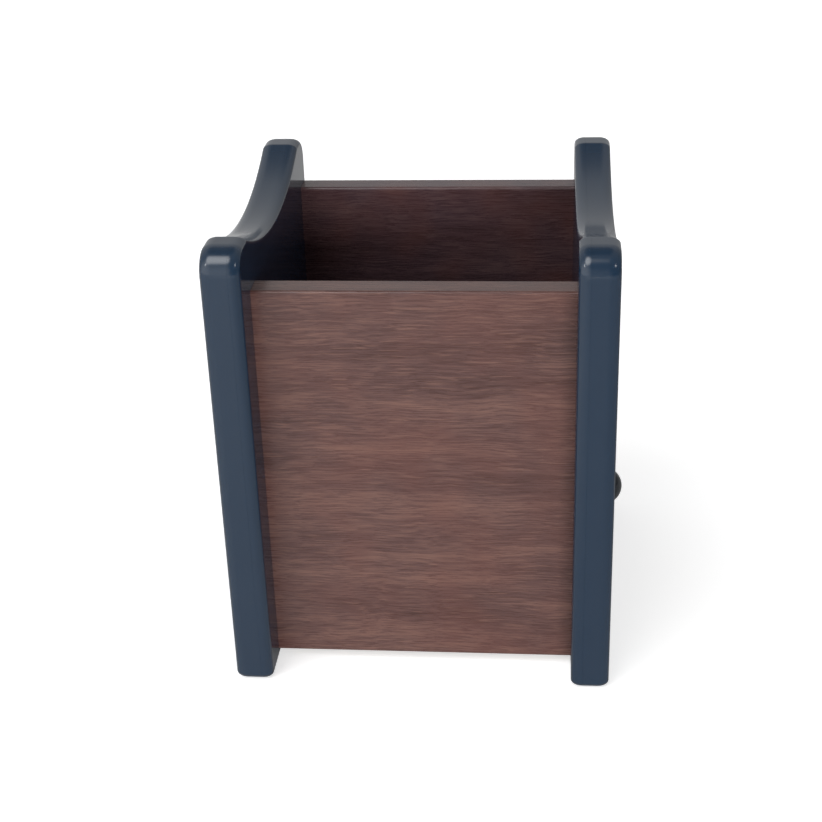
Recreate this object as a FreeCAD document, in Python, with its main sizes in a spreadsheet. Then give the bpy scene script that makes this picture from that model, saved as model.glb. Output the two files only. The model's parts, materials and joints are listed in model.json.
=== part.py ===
"""Pen stand with a drawer: two moulded side plates, wood-grain boards and a drawer that pulls out.

Frame: +Z up, +X to the right, +Y to the back, millimetres. The origin is the middle of the
whole outline on the ground, the knob included. Inside the functions X is measured from the
middle of the stand itself, and every piece is then placed by origin_shift.
"""
import FreeCAD
import Part
import math
import os
import re
import Sketcher

SIZES = [
    ("stand_width", 100.0, "across both side plates"),
    ("stand_depth", 103.0, "front to back of a side plate"),
    ("stand_height", 122.3, "top of the side plates' corners"),
    ("arc_dip", 8.2, "how far the concave top edge dips below the corners"),
    ("corner_radius", 5.4, "rounded top corners of a side plate"),
    ("top_flat", 6.0, "level stretch of the top edge beside each top corner"),
    ("crease_radius", 2.0, "rounding between a level stretch and the concave top"),
    ("foot_radius", 2.0, "rounded bottom corners of a side plate"),
    ("side_thickness", 10.0, "shell and liner together"),
    ("liner_thickness", 3.0, "inner plate of a side"),
    ("edge_radius", 1.7, "rounding of the shell's outer rim"),
    ("inner_edge_radius", 1.7, "rounding of the liner's rim"),
    ("seam_chamfer", 0.1, "bevel on both rims where shell and liner meet"),
    ("shell_wall", 2.2, "skin and rim of the shell"),
    ("hollow_foot_radius", 1.0, "bottom corners of the shell's hollow"),
    ("field_inset", 9.0, "plain rim around the recessed field outside"),
    ("field_depth", 0.8, "depth of the recessed field"),
    ("field_corner_radius", 3.0, "corners of the recessed field"),
    ("board_thickness", 8.0, "front and rear boards"),
    ("board_drop", 13.9, "boards' top edge below the side plates' corners"),
    ("board_bottom", 2.4, "bottom edge of the boards above the ground"),
    ("board_edge_radius", 0.4, "softened long edges of the boards"),
    ("front_recess", 11.0, "front board behind the side plates' front edges"),
    ("rear_recess", 1.0, "rear board inside the side plates' rear edges"),
    ("seat_depth", 1.0, "groove in the liner for a board's end"),
    ("fit_clearance", 0.1, "between pieces that are fixed together"),
    ("sliding_clearance", 0.3, "between the drawer and what guides it"),
    ("ledge_width", 6.0, "ledges moulded on the liners"),
    ("ledge_thickness", 4.0, "height of a ledge"),
    ("base_height", 8.9, "underside of the base board above the ground"),
    ("base_thickness", 3.0, "base board"),
    ("floor_thickness", 3.0, "floor of the pen compartment"),
    ("floor_gap", 3.5, "between the drawer's opening and the compartment floor"),
    ("flange_height", 3.0, "runner's flange under the tray"),
    ("flange_width", 7.0, "runner's flange, leg included"),
    ("leg_thickness", 2.0, "runner's upright leg"),
    ("leg_height", 10.0, "runner's upright leg above the base board"),
    ("opening_lip", 1.6, "how far the drawer front covers the liner's opening"),
    ("opening_height", 40.0, "drawer's opening in the shell"),
    ("opening_corner_radius", 1.5, "corners of the drawer's opening in the shell"),
    ("drawer_gap", 0.4, "gap around the drawer front"),
    ("tray_side_gap", 0.4, "tray inside the liner's opening"),
    ("tray_top_gap", 3.0, "tray below the top of the liner's opening"),
    ("tray_end_gap", 3.0, "closed tray to the left liner"),
    ("tray_wall", 2.0, "walls of the tray"),
    ("tray_floor", 1.8, "bottom of the tray"),
    ("tray_corner_radius", 3.0, "upright outer corners of the tray"),
    ("tray_rim", 1.0, "rounding of the tray's inner bottom edge"),
    ("drawer_travel", 55.7, "how far the drawer pulls out"),
    ("lug_length", 4.0, "stop lug along the travel"),
    ("lug_height", 8.0, "height of a stop lug"),
    ("lug_gap", 2.0, "stop lug above the runner's leg"),
    ("knob_diameter", 8.4, "round head of the knob"),
    ("knob_length", 5.2, "knob in front of the drawer front"),
    ("neck_diameter", 5.2, "neck of the knob"),
    ("neck_length", 1.0, "neck of the knob"),
    ("knob_flare", 0.8, "slope from the neck to the head"),
    ("dome_height", 2.0, "domed end of the knob"),
    ("knob_rounding", 0.5, "rounded rims of the knob's head"),
    ("knob_bore_depth", 3.3, "blind bore for the knob's screw"),
    ("knob_bite", 3.0, "how far the knob's screw enters the knob"),
    ("panel_shank_diameter", 2.8, "screws that hold the boards"),
    ("panel_head_diameter", 5.4, "screws that hold the boards"),
    ("panel_screw_length", 16.0, "screws that hold the boards"),
    ("small_shank_diameter", 2.0, "all the other screws"),
    ("small_head_diameter", 4.0, "all the other screws"),
    ("small_bite", 2.0, "how far a small screw enters its board or rail"),
    ("front_bite", 4.0, "how far the tray's screws enter the drawer front"),
    ("front_screw_inset", 12.0, "the drawer front's screws from the tray's sides"),
    ("tip_length", 1.2, "pointed end of a screw"),
    ("tip_flat_diameter", 0.4, "blunt end of a screw's point"),
    ("slot_width", 0.6, "cross slot in a screw's head"),
    ("slot_depth", 0.7, "cross slot in a screw's head"),
    ("thread_clearance", 0.05, "shank to the hole it bites in"),
    ("hole_clearance", 0.15, "shank to the hole it passes through"),
    ("pin_diameter", 4.0, "pins of the liner that hold the shell"),
    ("pin_length", 4.0, "pins of the liner that hold the shell"),
    ("pin_inset", 9.5, "pins from the side plate's front and rear edges"),
    ("lower_pin_rise", 5.5, "lower pins above the compartment floor's ledges"),
    ("upper_pin_drop", 17.6, "upper pins below the side plates' corners"),
    ("boss_wall", 1.5, "wall of the shell's sockets around the pins"),
    ("panel_screw_inset", 18.0, "screws from the boards' top and bottom edges"),
    ("floor_screw_inset", 12.0, "screws from the front and rear edges of the floors"),
    ("runner_screw_inset", 14.0, "screws from the ends of a runner"),
    ("overrun", 1.0, "how far a cutting shape runs past a face"),
]

# Places worked out from the sizes. A later one may be written with an earlier one.
PLACES = {
    "origin_shift": "(-(knob_length - field_depth) / 2)",
    "arc_height": "(stand_height - arc_dip)",
    "board_top": "(stand_height - board_drop)",
    "inside": "(stand_width / 2 - side_thickness)",
    "seam": "(inside + liner_thickness)",
    "field_face": "(stand_width / 2 - field_depth)",
    "board_end": "(inside + seat_depth - fit_clearance)",
    "front_board_face": "(front_recess - stand_depth / 2)",
    "front_board_back": "(front_board_face + board_thickness)",
    "rear_board_back": "(stand_depth / 2 - rear_recess)",
    "rear_board_face": "(rear_board_back - board_thickness)",
    "base_top": "(base_height + base_thickness)",
    "tray_bottom": "(base_top + flange_height + sliding_clearance)",
    "leg_outside": "(-front_board_back - 2 * fit_clearance)",
    "leg_inside": "(leg_outside - leg_thickness)",
    "tray_half": "(leg_inside - sliding_clearance)",
    "liner_opening_half": "(tray_half + tray_side_gap)",
    "liner_sill": "(base_top + flange_height + fit_clearance)",
    "opening_half": "(liner_opening_half + opening_lip)",
    "opening_bottom": "(liner_sill - opening_lip)",
    "opening_top": "(opening_bottom + opening_height)",
    "liner_lintel": "(opening_top - opening_lip)",
    "tray_top": "(liner_lintel - tray_top_gap)",
    "tray_front": "(seam + sliding_clearance)",
    "tray_back": "(tray_end_gap - inside)",
    "lug_front": "(inside - drawer_travel - sliding_clearance)",
    "lug_bottom": "(base_top + leg_height + lug_gap)",
    "knob_height": "((opening_bottom + opening_top) / 2)",
    "floor_height": "(opening_top + floor_gap)",
    "ledge_middle": "(inside - ledge_width / 2)",
    "front_floor_screw": "(front_board_back + floor_screw_inset)",
    "rear_floor_screw": "(rear_board_face - floor_screw_inset)",
    "runner_screw_across": "(leg_outside - (flange_width + leg_thickness) / 2)",
    "runner_screw_along": "(inside - runner_screw_inset)",
    "low_panel_screw": "(board_bottom + panel_screw_inset)",
    "high_panel_screw": "(board_top - panel_screw_inset)",
    "front_board_middle": "(front_board_face + board_thickness / 2)",
    "rear_board_middle": "(rear_board_face + board_thickness / 2)",
    "pin_across": "(stand_depth / 2 - pin_inset)",
    "lower_pin_height": "(floor_height + lower_pin_rise)",
    "upper_pin_height": "(stand_height - upper_pin_drop)",
    "front_screw_across": "(tray_half - front_screw_inset)",
}
LEFT, RIGHT = -1, 1
FRONT, REAR = -1, 1
AXIS_TOLERANCE = 1e-4

doc = FreeCAD.newDocument("PenStand")
sheet = doc.addObject("Spreadsheet::Sheet", "Sizes")
sheet.Label = "Sizes"
subparts = []


def fill_sheet():
    """Write each size, its name and what it is in a row of the sheet."""
    for row, (name, size, meaning) in enumerate(SIZES, start=1):
        sheet.set("A%d" % row, name)
        sheet.set("B%d" % row, str(size))
        sheet.set("C%d" % row, meaning)
        sheet.setAlias("B%d" % row, name)
    doc.recompute()


def bound(expression):
    """The expression with its places written out and every size read from the sheet."""
    for name, meaning in reversed(list(PLACES.items())):
        expression = re.sub(r"\b%s\b" % name, meaning, expression)
    return re.sub(r"\b([a-z][a-z0-9_]*)\b", r"<<Sizes>>.\1", expression)


def value(expression):
    """The expression's value in millimetres."""
    return float(sheet.evalExpression(bound(expression)))


def signed(sign, expression):
    """The expression on the negative or the positive side."""
    return expression if sign > 0 else "(-%s)" % expression


def vector(across, up):
    return FreeCAD.Vector(value(across), value(up), 0)


# Bodies and sketches


def new_body(label, along="0", up="0"):
    """A body placed in the object's frame, at a point given in the stand's own coordinates."""
    body = doc.addObject("PartDesign::Body", label)
    body.Label = label
    body.setExpression("Placement.Base.x", bound("origin_shift + " + along))
    body.setExpression("Placement.Base.z", bound(up))
    subparts.append(body)
    return body


def new_sketch(body, name, role, offset="0"):
    """A named sketch on one of the body's own planes, moved along the plane's normal."""
    sketch = body.newObject("Sketcher::SketchObject", name)
    plane = [p for p in body.Origin.OriginFeatures if p.Role == role][0]
    sketch.AttachmentSupport = (plane, [""])
    sketch.MapMode = "FlatFace"
    sketch.setExpression("AttachmentOffset.Base.z", bound(offset))
    return sketch


def dimension(sketch, constraint, expression):
    """Add a dimension that follows the sheet."""
    index = sketch.addConstraint(constraint)
    sketch.setExpression("Constraints[%d]" % index, bound(expression))


def pin_point(sketch, element, vertex, across=None, up=None):
    """Hold a point of the sketch at its distances from the sketch's origin."""
    if across is not None:
        sizes = (-1, 1, element, vertex, value(across))
        dimension(sketch, Sketcher.Constraint("DistanceX", *sizes), across)
    if up is not None:
        sizes = (-1, 1, element, vertex, value(up))
        dimension(sketch, Sketcher.Constraint("DistanceY", *sizes), up)


def rectangle(sketch, left, bottom, right, top):
    """A rectangle whose sides lie at the given distances from the sketch's origin."""
    corners = [vector(left, bottom), vector(right, bottom), vector(right, top), vector(left, top)]
    sides = [Part.LineSegment(corners[i], corners[(i + 1) % 4]) for i in range(4)]
    first = sketch.addGeometry(sides, False)[0]
    for i in range(4):
        joint = (first + i, 2, first + (i + 1) % 4, 1)
        sketch.addConstraint(Sketcher.Constraint("Coincident", *joint))
        level = "Horizontal" if i % 2 == 0 else "Vertical"
        sketch.addConstraint(Sketcher.Constraint(level, first + i))
    pin_point(sketch, first, 1, left, bottom)
    pin_point(sketch, first + 2, 1, right, top)


def circle(sketch, across, up, radius):
    """A circle around a point of the sketch."""
    shape = Part.Circle(vector(across, up), FreeCAD.Vector(0, 0, 1), value(radius))
    index = sketch.addGeometry(shape, False)
    dimension(sketch, Sketcher.Constraint("Radius", index, value(radius)), radius)
    pin_point(sketch, index, 3, across, up)


def side_outline(sketch, half_depth, bottom, top, low, corner, foot):
    """Profile of a side plate: straight foot and edges, round corners and a concave top.

    The concave arc passes through the point at height low in the middle. A crease, rounded
    and tangent to both, joins it to the level stretch beside each top corner.
    """
    half, base, crest = value(half_depth), value(bottom), value(top)
    bend, toe, crease = value(corner), value(foot), value("crease_radius")
    dip = crest - value(low)
    run = half - bend
    brink = run - value("top_flat")
    reach = (brink ** 2 + dip ** 2) / (2 * dip)
    centre_height = crest - dip + reach - crease
    corner_height = crest - bend
    fall = math.asin(brink / reach)
    quarter = math.pi / 2
    up = FreeCAD.Vector(0, 0, 1)

    def point(across, height):
        return FreeCAD.Vector(across, height, 0)

    def arc(across, height, radius, start, end):
        return Part.ArcOfCircle(Part.Circle(point(across, height), up, radius), start, end)

    shapes = [
        Part.LineSegment(point(toe - half, base), point(half - toe, base)),
        arc(half - toe, base + toe, toe, -quarter, 0),
        Part.LineSegment(point(half, base + toe), point(half, corner_height)),
        arc(run, corner_height, bend, 0, quarter),
        Part.LineSegment(point(run, crest), point(brink, crest)),
        arc(brink, crest - crease, crease, quarter, quarter + fall),
        arc(0, centre_height, reach - crease, 3 * quarter - fall, 3 * quarter + fall),
        arc(-brink, crest - crease, crease, quarter - fall, quarter),
        Part.LineSegment(point(-brink, crest), point(-run, crest)),
        arc(-run, corner_height, bend, quarter, math.pi),
        Part.LineSegment(point(-half, corner_height), point(-half, base + toe)),
        arc(toe - half, base + toe, toe, math.pi, math.pi + quarter),
    ]
    (foot_line, right_foot, right_line, right_corner, right_flat, right_crease, dip_arc,
     left_crease, left_flat, left_corner, left_line, left_foot) = sketch.addGeometry(shapes, False)
    joints = [
        (foot_line, 2, right_foot, 1),
        (right_foot, 2, right_line, 1),
        (right_line, 2, right_corner, 1),
        (right_corner, 2, right_flat, 1),
        (right_flat, 2, right_crease, 1),
        (right_crease, 2, dip_arc, 2),
        (dip_arc, 1, left_crease, 1),
        (left_crease, 2, left_flat, 1),
        (left_flat, 2, left_corner, 1),
        (left_corner, 2, left_line, 1),
        (left_line, 2, left_foot, 1),
        (left_foot, 2, foot_line, 1),
    ]
    for joint in joints:
        sketch.addConstraint(Sketcher.Constraint("Tangent", *joint))
    for level in (foot_line, right_flat, left_flat):
        sketch.addConstraint(Sketcher.Constraint("Horizontal", level))
    for upright in (right_line, left_line):
        sketch.addConstraint(Sketcher.Constraint("Vertical", upright))
    for element, radius in ((right_foot, foot), (left_foot, foot),
                            (right_corner, corner), (left_corner, corner),
                            (right_crease, "crease_radius"), (left_crease, "crease_radius")):
        dimension(sketch, Sketcher.Constraint("Radius", element, value(radius)), radius)
    pin_point(sketch, foot_line, 1, up=bottom)
    pin_point(sketch, right_line, 2, half_depth, "%s - %s" % (top, corner))
    pin_point(sketch, left_line, 1, "-" + half_depth, "%s - %s" % (top, corner))
    edge = "(%s - %s - top_flat)" % (half_depth, corner)
    pin_point(sketch, right_flat, 2, edge)
    pin_point(sketch, left_flat, 1, "-" + edge)
    middle = sketch.addGeometry(Part.Point(point(0, crest - dip)), True)
    sketch.addConstraint(Sketcher.Constraint("PointOnObject", middle, 1, -2))
    sketch.addConstraint(Sketcher.Constraint("PointOnObject", middle, 1, dip_arc))
    pin_point(sketch, middle, 1, up=low)


def inset_outline(sketch, inset, corner, foot):
    """The side plate's profile, drawn in from its edge all round."""
    side_outline(
        sketch,
        "(stand_depth / 2 - %s)" % inset,
        inset,
        "(stand_height - %s)" % inset,
        "(arc_height - %s)" % inset,
        corner,
        foot,
    )


# Features


def pad(body, sketch, length, reverse=False):
    """Raise the sketch along its normal, or against it."""
    feature = body.newObject("PartDesign::Pad", sketch.Name + "Pad")
    feature.Profile = sketch
    feature.setExpression("Length", bound(length))
    feature.Reversed = reverse
    doc.recompute()
    return feature


def pocket(body, sketch, depth, reverse=False):
    """Cut the sketch into the body, and make sure that it took something away."""
    before = body.Tip.Shape.Volume
    feature = body.newObject("PartDesign::Pocket", sketch.Name + "Pocket")
    feature.Profile = sketch
    feature.setExpression("Length", bound(depth))
    feature.Reversed = reverse
    doc.recompute()
    if feature.Shape.Volume >= before:
        raise RuntimeError("%s: a cut took nothing away" % body.Label)
    return feature


def fillet(body, base, size, test):
    """Round the edges of a feature that pass the test."""
    feature = body.newObject("PartDesign::Fillet", "Fillet")
    feature.Base = (base, edges_where(base.Shape, test))
    feature.setExpression("Radius", bound(size))
    doc.recompute()
    return feature


def chamfer(body, base, size, test):
    """Bevel the edges of a feature that pass the test."""
    feature = body.newObject("PartDesign::Chamfer", "Chamfer")
    feature.Base = (base, edges_where(base.Shape, test))
    feature.setExpression("Size", bound(size))
    doc.recompute()
    return feature


def edges_where(shape, test):
    """Names of the edges that pass the test."""
    found = ["Edge%d" % n for n, edge in enumerate(shape.Edges, start=1) if test(edge)]
    if not found:
        raise RuntimeError("no edge passes the test")
    return found


def same(first, second):
    return abs(first - second) < AXIS_TOLERANCE


def lies_in(edge, axis, place):
    """Whether the whole edge lies in the plane square to the axis at that place."""
    box = edge.BoundBox
    low, high = getattr(box, axis + "Min"), getattr(box, axis + "Max")
    return same(low, place) and same(high, place)


def runs_along(edge, axis):
    """Whether the edge is a straight one along the axis."""
    box = edge.BoundBox
    spans = {"X": box.XLength, "Y": box.YLength, "Z": box.ZLength}
    across = [span for name, span in spans.items() if name != axis]
    return spans[axis] > AXIS_TOLERANCE and max(across) < AXIS_TOLERANCE


def is_hole_edge(edge, radius):
    """Whether the edge is a full circle of that radius."""
    return len(edge.Vertexes) == 1 and same(edge.Length, 2 * math.pi * radius)


# Side plates


def side_shell(label, side):
    """Outer moulding: rounded rim, recessed field outside, hollow and socketed inside."""
    body = new_body(label)
    outer = value(signed(side, "stand_width / 2"))
    seam = value(signed(side, "seam"))
    inward = side < 0
    profile = new_sketch(body, "Profile", "YZ_Plane", signed(side, "seam"))
    inset_outline(profile, "0", "corner_radius", "foot_radius")
    block = pad(body, profile, "side_thickness - liner_thickness", reverse=inward)
    rim = fillet(body, block, "edge_radius", lambda edge: lies_in(edge, "X", outer))
    chamfer(body, rim, "seam_chamfer", lambda edge: lies_in(edge, "X", seam))

    field = new_sketch(body, "Field", "YZ_Plane", signed(side, "(stand_width / 2)"))
    inset_outline(field, "field_inset", "field_corner_radius", "field_corner_radius")
    pocket(body, field, "field_depth", reverse=inward)

    cavity = new_sketch(body, "Cavity", "YZ_Plane", signed(side, "seam"))
    inset_outline(cavity, "shell_wall", "(corner_radius - shell_wall)", "hollow_foot_radius")
    for across, up in pin_places():
        circle(cavity, across, up, "(pin_diameter / 2 + fit_clearance + boss_wall)")
    if side == RIGHT:
        wall = "(opening_half + shell_wall)"
        rectangle(cavity, "-" + wall, "opening_bottom - shell_wall", wall,
                  "opening_top + shell_wall")
    pocket(body, cavity, "side_thickness - liner_thickness - shell_wall - field_depth",
           reverse=not inward)

    sockets = new_sketch(body, "Sockets", "YZ_Plane", signed(side, "seam"))
    for across, up in pin_places():
        circle(sockets, across, up, "(pin_diameter / 2 + fit_clearance)")
    pocket(body, sockets, "pin_length", reverse=not inward)
    if side == RIGHT:
        opening = new_sketch(body, "Opening", "YZ_Plane", "(stand_width / 2)")
        rectangle(opening, "-opening_half", "opening_bottom", "opening_half", "opening_top")
        cut = pocket(body, opening, "side_thickness")
        half, low, high = value("opening_half"), value("opening_bottom"), value("opening_top")
        fillet(body, cut, "opening_corner_radius", lambda edge: (
            runs_along(edge, "X")
            and same(abs(edge.BoundBox.YMin), half)
            and (same(edge.BoundBox.ZMin, low) or same(edge.BoundBox.ZMin, high))))
    return body


def pin_places():
    """Where the liner's pins meet the shell's sockets."""
    return [(signed(end, "pin_across"), up)
            for end in (FRONT, REAR) for up in ("lower_pin_height", "upper_pin_height")]


def panel_screw_places():
    """Where screws pass a liner into the ends of the two boards."""
    return [(across, up)
            for across in ("front_board_middle", "rear_board_middle")
            for up in ("low_panel_screw", "high_panel_screw")]


def side_liner(label, side):
    """Inner plate: grooves for the boards, ledges for the floors, pins for the shell."""
    body = new_body(label)
    seam, inside = value(signed(side, "seam")), value(signed(side, "inside"))
    inward = side < 0
    profile = new_sketch(body, "Profile", "YZ_Plane", signed(side, "seam"))
    inset_outline(profile, "0", "corner_radius", "foot_radius")
    plate = pad(body, profile, "liner_thickness", reverse=not inward)
    rim = fillet(body, plate, "inner_edge_radius", lambda edge: lies_in(edge, "X", inside))
    chamfer(body, rim, "seam_chamfer", lambda edge: lies_in(edge, "X", seam))

    grooves = new_sketch(body, "Grooves", "YZ_Plane", signed(side, "inside"))
    for face, back in (("front_board_face", "front_board_back"),
                       ("rear_board_face", "rear_board_back")):
        rectangle(grooves, face + " - fit_clearance", "board_bottom - fit_clearance",
                  back + " + fit_clearance", "board_top + fit_clearance")
    pocket(body, grooves, "seat_depth", reverse=not inward)

    ledges = new_sketch(body, "Ledges", "YZ_Plane", signed(side, "inside"))
    for top in ("base_height", "floor_height"):
        rectangle(ledges, "front_board_back + fit_clearance", top + " - ledge_thickness",
                  "rear_board_face - fit_clearance", top)
    pad(body, ledges, "ledge_width", reverse=not inward)

    pins = new_sketch(body, "Pins", "YZ_Plane", signed(side, "seam"))
    for across, up in pin_places():
        circle(pins, across, up, "(pin_diameter / 2)")
    pad(body, pins, "pin_length - fit_clearance", reverse=inward)

    panel_hole = "(panel_shank_diameter / 2 + hole_clearance)"
    holes = new_sketch(body, "ScrewHoles", "YZ_Plane", signed(side, "seam"))
    for across, up in panel_screw_places():
        circle(holes, across, up, panel_hole)
    drilled = pocket(body, holes, "liner_thickness", reverse=inward)
    chamfer(body, drilled, "(panel_head_diameter / 2 + fit_clearance) - " + panel_hole,
            lambda edge: lies_in(edge, "X", seam) and is_hole_edge(edge, value(panel_hole)))

    small_hole = "(small_shank_diameter / 2 + hole_clearance)"
    upright = new_sketch(body, "LedgeHoles", "XY_Plane", "base_height - ledge_thickness")
    for across in ("front_floor_screw", "rear_floor_screw"):
        circle(upright, signed(side, "ledge_middle"), across, small_hole)
    drilled = pocket(body, upright, "floor_height - base_height + ledge_thickness", reverse=True)
    undersides = [value("base_height - ledge_thickness"), value("floor_height - ledge_thickness")]
    chamfer(body, drilled, "(small_head_diameter / 2 + fit_clearance) - " + small_hole,
            lambda edge: is_hole_edge(edge, value(small_hole))
            and any(lies_in(edge, "Z", height) for height in undersides))
    if side == RIGHT:
        opening = new_sketch(body, "Opening", "YZ_Plane", "seam")
        rectangle(opening, "-liner_opening_half", "liner_sill", "liner_opening_half",
                  "liner_lintel")
        pocket(body, opening, "liner_thickness")
    return body


# Boards and rails


def drill(body, role, offset, places, radius, depth, reverse=False):
    """Holes of one kind into the body, from a plane of its own."""
    sketch = new_sketch(body, "Holes", role, offset)
    for across, up in places:
        circle(sketch, across, up, radius)
    return pocket(body, sketch, depth, reverse)


def panel(label, face, back, middle):
    """Upright board between the two liners, with holes for its screws in both ends."""
    body = new_body(label)
    outline = new_sketch(body, "Outline", "XY_Plane", "board_bottom")
    rectangle(outline, "-board_end", face, "board_end", back)
    board = pad(body, outline, "board_top - board_bottom")
    fillet(body, board, "board_edge_radius", lambda edge: runs_along(edge, "X"))
    depth = "board_end - (seam - panel_screw_length) + fit_clearance"
    radius = "(panel_shank_diameter / 2 + thread_clearance)"
    places = [(middle, up) for up in ("low_panel_screw", "high_panel_screw")]
    drill(body, "YZ_Plane", "-board_end", places, radius, depth, reverse=True)
    drill(body, "YZ_Plane", "board_end", places, radius, depth)
    return body


def ledge_screw_places():
    """Where screws pass up through the liners' ledges."""
    return [(signed(side, "ledge_middle"), across)
            for side in (LEFT, RIGHT) for across in ("front_floor_screw", "rear_floor_screw")]


def runner_screw_places(end=None):
    """Where screws pass up through the base board into a runner, or into both."""
    return [(signed(side, "runner_screw_along"), signed(place, "runner_screw_across"))
            for place in (FRONT, REAR) if end in (None, place)
            for side in (LEFT, RIGHT)]


def level_board(label, underside, thickness):
    """Level board between the liners and the upright boards, screwed from its ledges."""
    body = new_body(label)
    outline = new_sketch(body, "Outline", "XY_Plane", underside)
    rectangle(outline, "fit_clearance - inside", "front_board_back + fit_clearance",
              "inside - fit_clearance", "rear_board_face - fit_clearance")
    pad(body, outline, thickness)
    drill(body, "XY_Plane", underside, ledge_screw_places(),
          "(small_shank_diameter / 2 + thread_clearance)", "small_bite + fit_clearance",
          reverse=True)
    return body


def base_board():
    """Board under the drawer, with countersunk holes for the runners' screws."""
    body = level_board("base_board", "base_height", "base_thickness")
    hole = "(small_shank_diameter / 2 + hole_clearance)"
    drilled = drill(body, "XY_Plane", "base_height", runner_screw_places(), hole,
                    "base_thickness", reverse=True)
    chamfer(body, drilled, "(small_head_diameter / 2 + fit_clearance) - " + hole,
            lambda edge: is_hole_edge(edge, value(hole))
            and lies_in(edge, "Z", value("base_height")))
    return body


def runner(label, end):
    """L-shaped rail: the tray slides on its flange, beside its upright leg."""
    body = new_body(label)
    length = "(inside - fit_clearance)"
    flange = new_sketch(body, "Flange", "XY_Plane", "base_top")
    rectangle(flange, "-" + length, signed(end, "leg_outside"), length,
              signed(end, "(leg_outside - flange_width)"))
    pad(body, flange, "flange_height")
    leg = new_sketch(body, "Leg", "XY_Plane", "base_top")
    rectangle(leg, "-" + length, signed(end, "leg_outside"), length, signed(end, "leg_inside"))
    raised = pad(body, leg, "leg_height")
    top = value("base_top + leg_height")
    fillet(body, raised, "leg_thickness / 4",
           lambda edge: lies_in(edge, "Z", top) and runs_along(edge, "X"))
    drill(body, "XY_Plane", "base_top", runner_screw_places(end),
          "(small_shank_diameter / 2 + thread_clearance)", "small_bite + fit_clearance",
          reverse=True)
    return body


# Drawer


def front_screw_places():
    """Where two screws pass the tray's front wall into the drawer front."""
    return [(signed(end, "front_screw_across"), "knob_height") for end in (FRONT, REAR)]


def drawer_tray():
    """Moulded tray, open at the top, with a stop lug on each side."""
    body = new_body("drawer_tray")
    outline = new_sketch(body, "Outline", "XY_Plane", "tray_bottom")
    rectangle(outline, "tray_back", "-tray_half", "tray_front", "tray_half")
    block = pad(body, outline, "tray_top - tray_bottom")
    fillet(body, block, "tray_corner_radius", lambda edge: runs_along(edge, "Z"))

    hollow = new_sketch(body, "Hollow", "XY_Plane", "tray_top")
    rectangle(hollow, "tray_back + tray_wall", "tray_wall - tray_half",
              "tray_front - tray_wall", "tray_half - tray_wall")
    cut = pocket(body, hollow, "tray_top - tray_bottom - tray_floor")
    bottom = value("tray_bottom + tray_floor")
    reach = value("tray_half - tray_wall")
    corners = fillet(body, cut, "tray_corner_radius - tray_wall", lambda edge: (
        runs_along(edge, "Z") and same(abs(edge.BoundBox.YMin), reach)))
    fillet(body, corners, "tray_rim", lambda edge: lies_in(edge, "Z", bottom))

    lugs = new_sketch(body, "Lugs", "XY_Plane", "lug_bottom")
    for end in (FRONT, REAR):
        rectangle(lugs, "lug_front - lug_length", signed(end, "(tray_half - tray_wall / 2)"),
                  "lug_front", signed(end, "(tray_half + leg_thickness)"))
    pad(body, lugs, "lug_height")

    hole = "(small_shank_diameter / 2 + hole_clearance)"
    drilled = drill(body, "YZ_Plane", "tray_front", front_screw_places() + [("0", "knob_height")],
                    hole, "tray_wall")
    inner_face = value("tray_front - tray_wall")
    chamfer(body, drilled, "(small_head_diameter / 2 + fit_clearance) - " + hole,
            lambda edge: is_hole_edge(edge, value(hole)) and lies_in(edge, "X", inner_face))
    return body


def drawer_front():
    """Board that closes the opening, level with the recessed field of the shell."""
    body = new_body("drawer_front")
    outline = new_sketch(body, "Outline", "YZ_Plane", "tray_front")
    half = "(opening_half - drawer_gap)"
    rectangle(outline, "-" + half, "opening_bottom + drawer_gap", half,
              "opening_top - drawer_gap")
    block = pad(body, outline, "field_face - tray_front")
    corners = fillet(body, block, "opening_corner_radius - drawer_gap",
                     lambda edge: runs_along(edge, "X"))
    outer = value("field_face")
    fillet(body, corners, "board_edge_radius", lambda edge: lies_in(edge, "X", outer))
    drill(body, "YZ_Plane", "tray_front", front_screw_places(),
          "(small_shank_diameter / 2 + thread_clearance)", "front_bite + fit_clearance",
          reverse=True)
    drill(body, "YZ_Plane", "tray_front", [("0", "knob_height")],
          "(small_shank_diameter / 2 + hole_clearance)", "field_face - tray_front", reverse=True)
    return body


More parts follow.
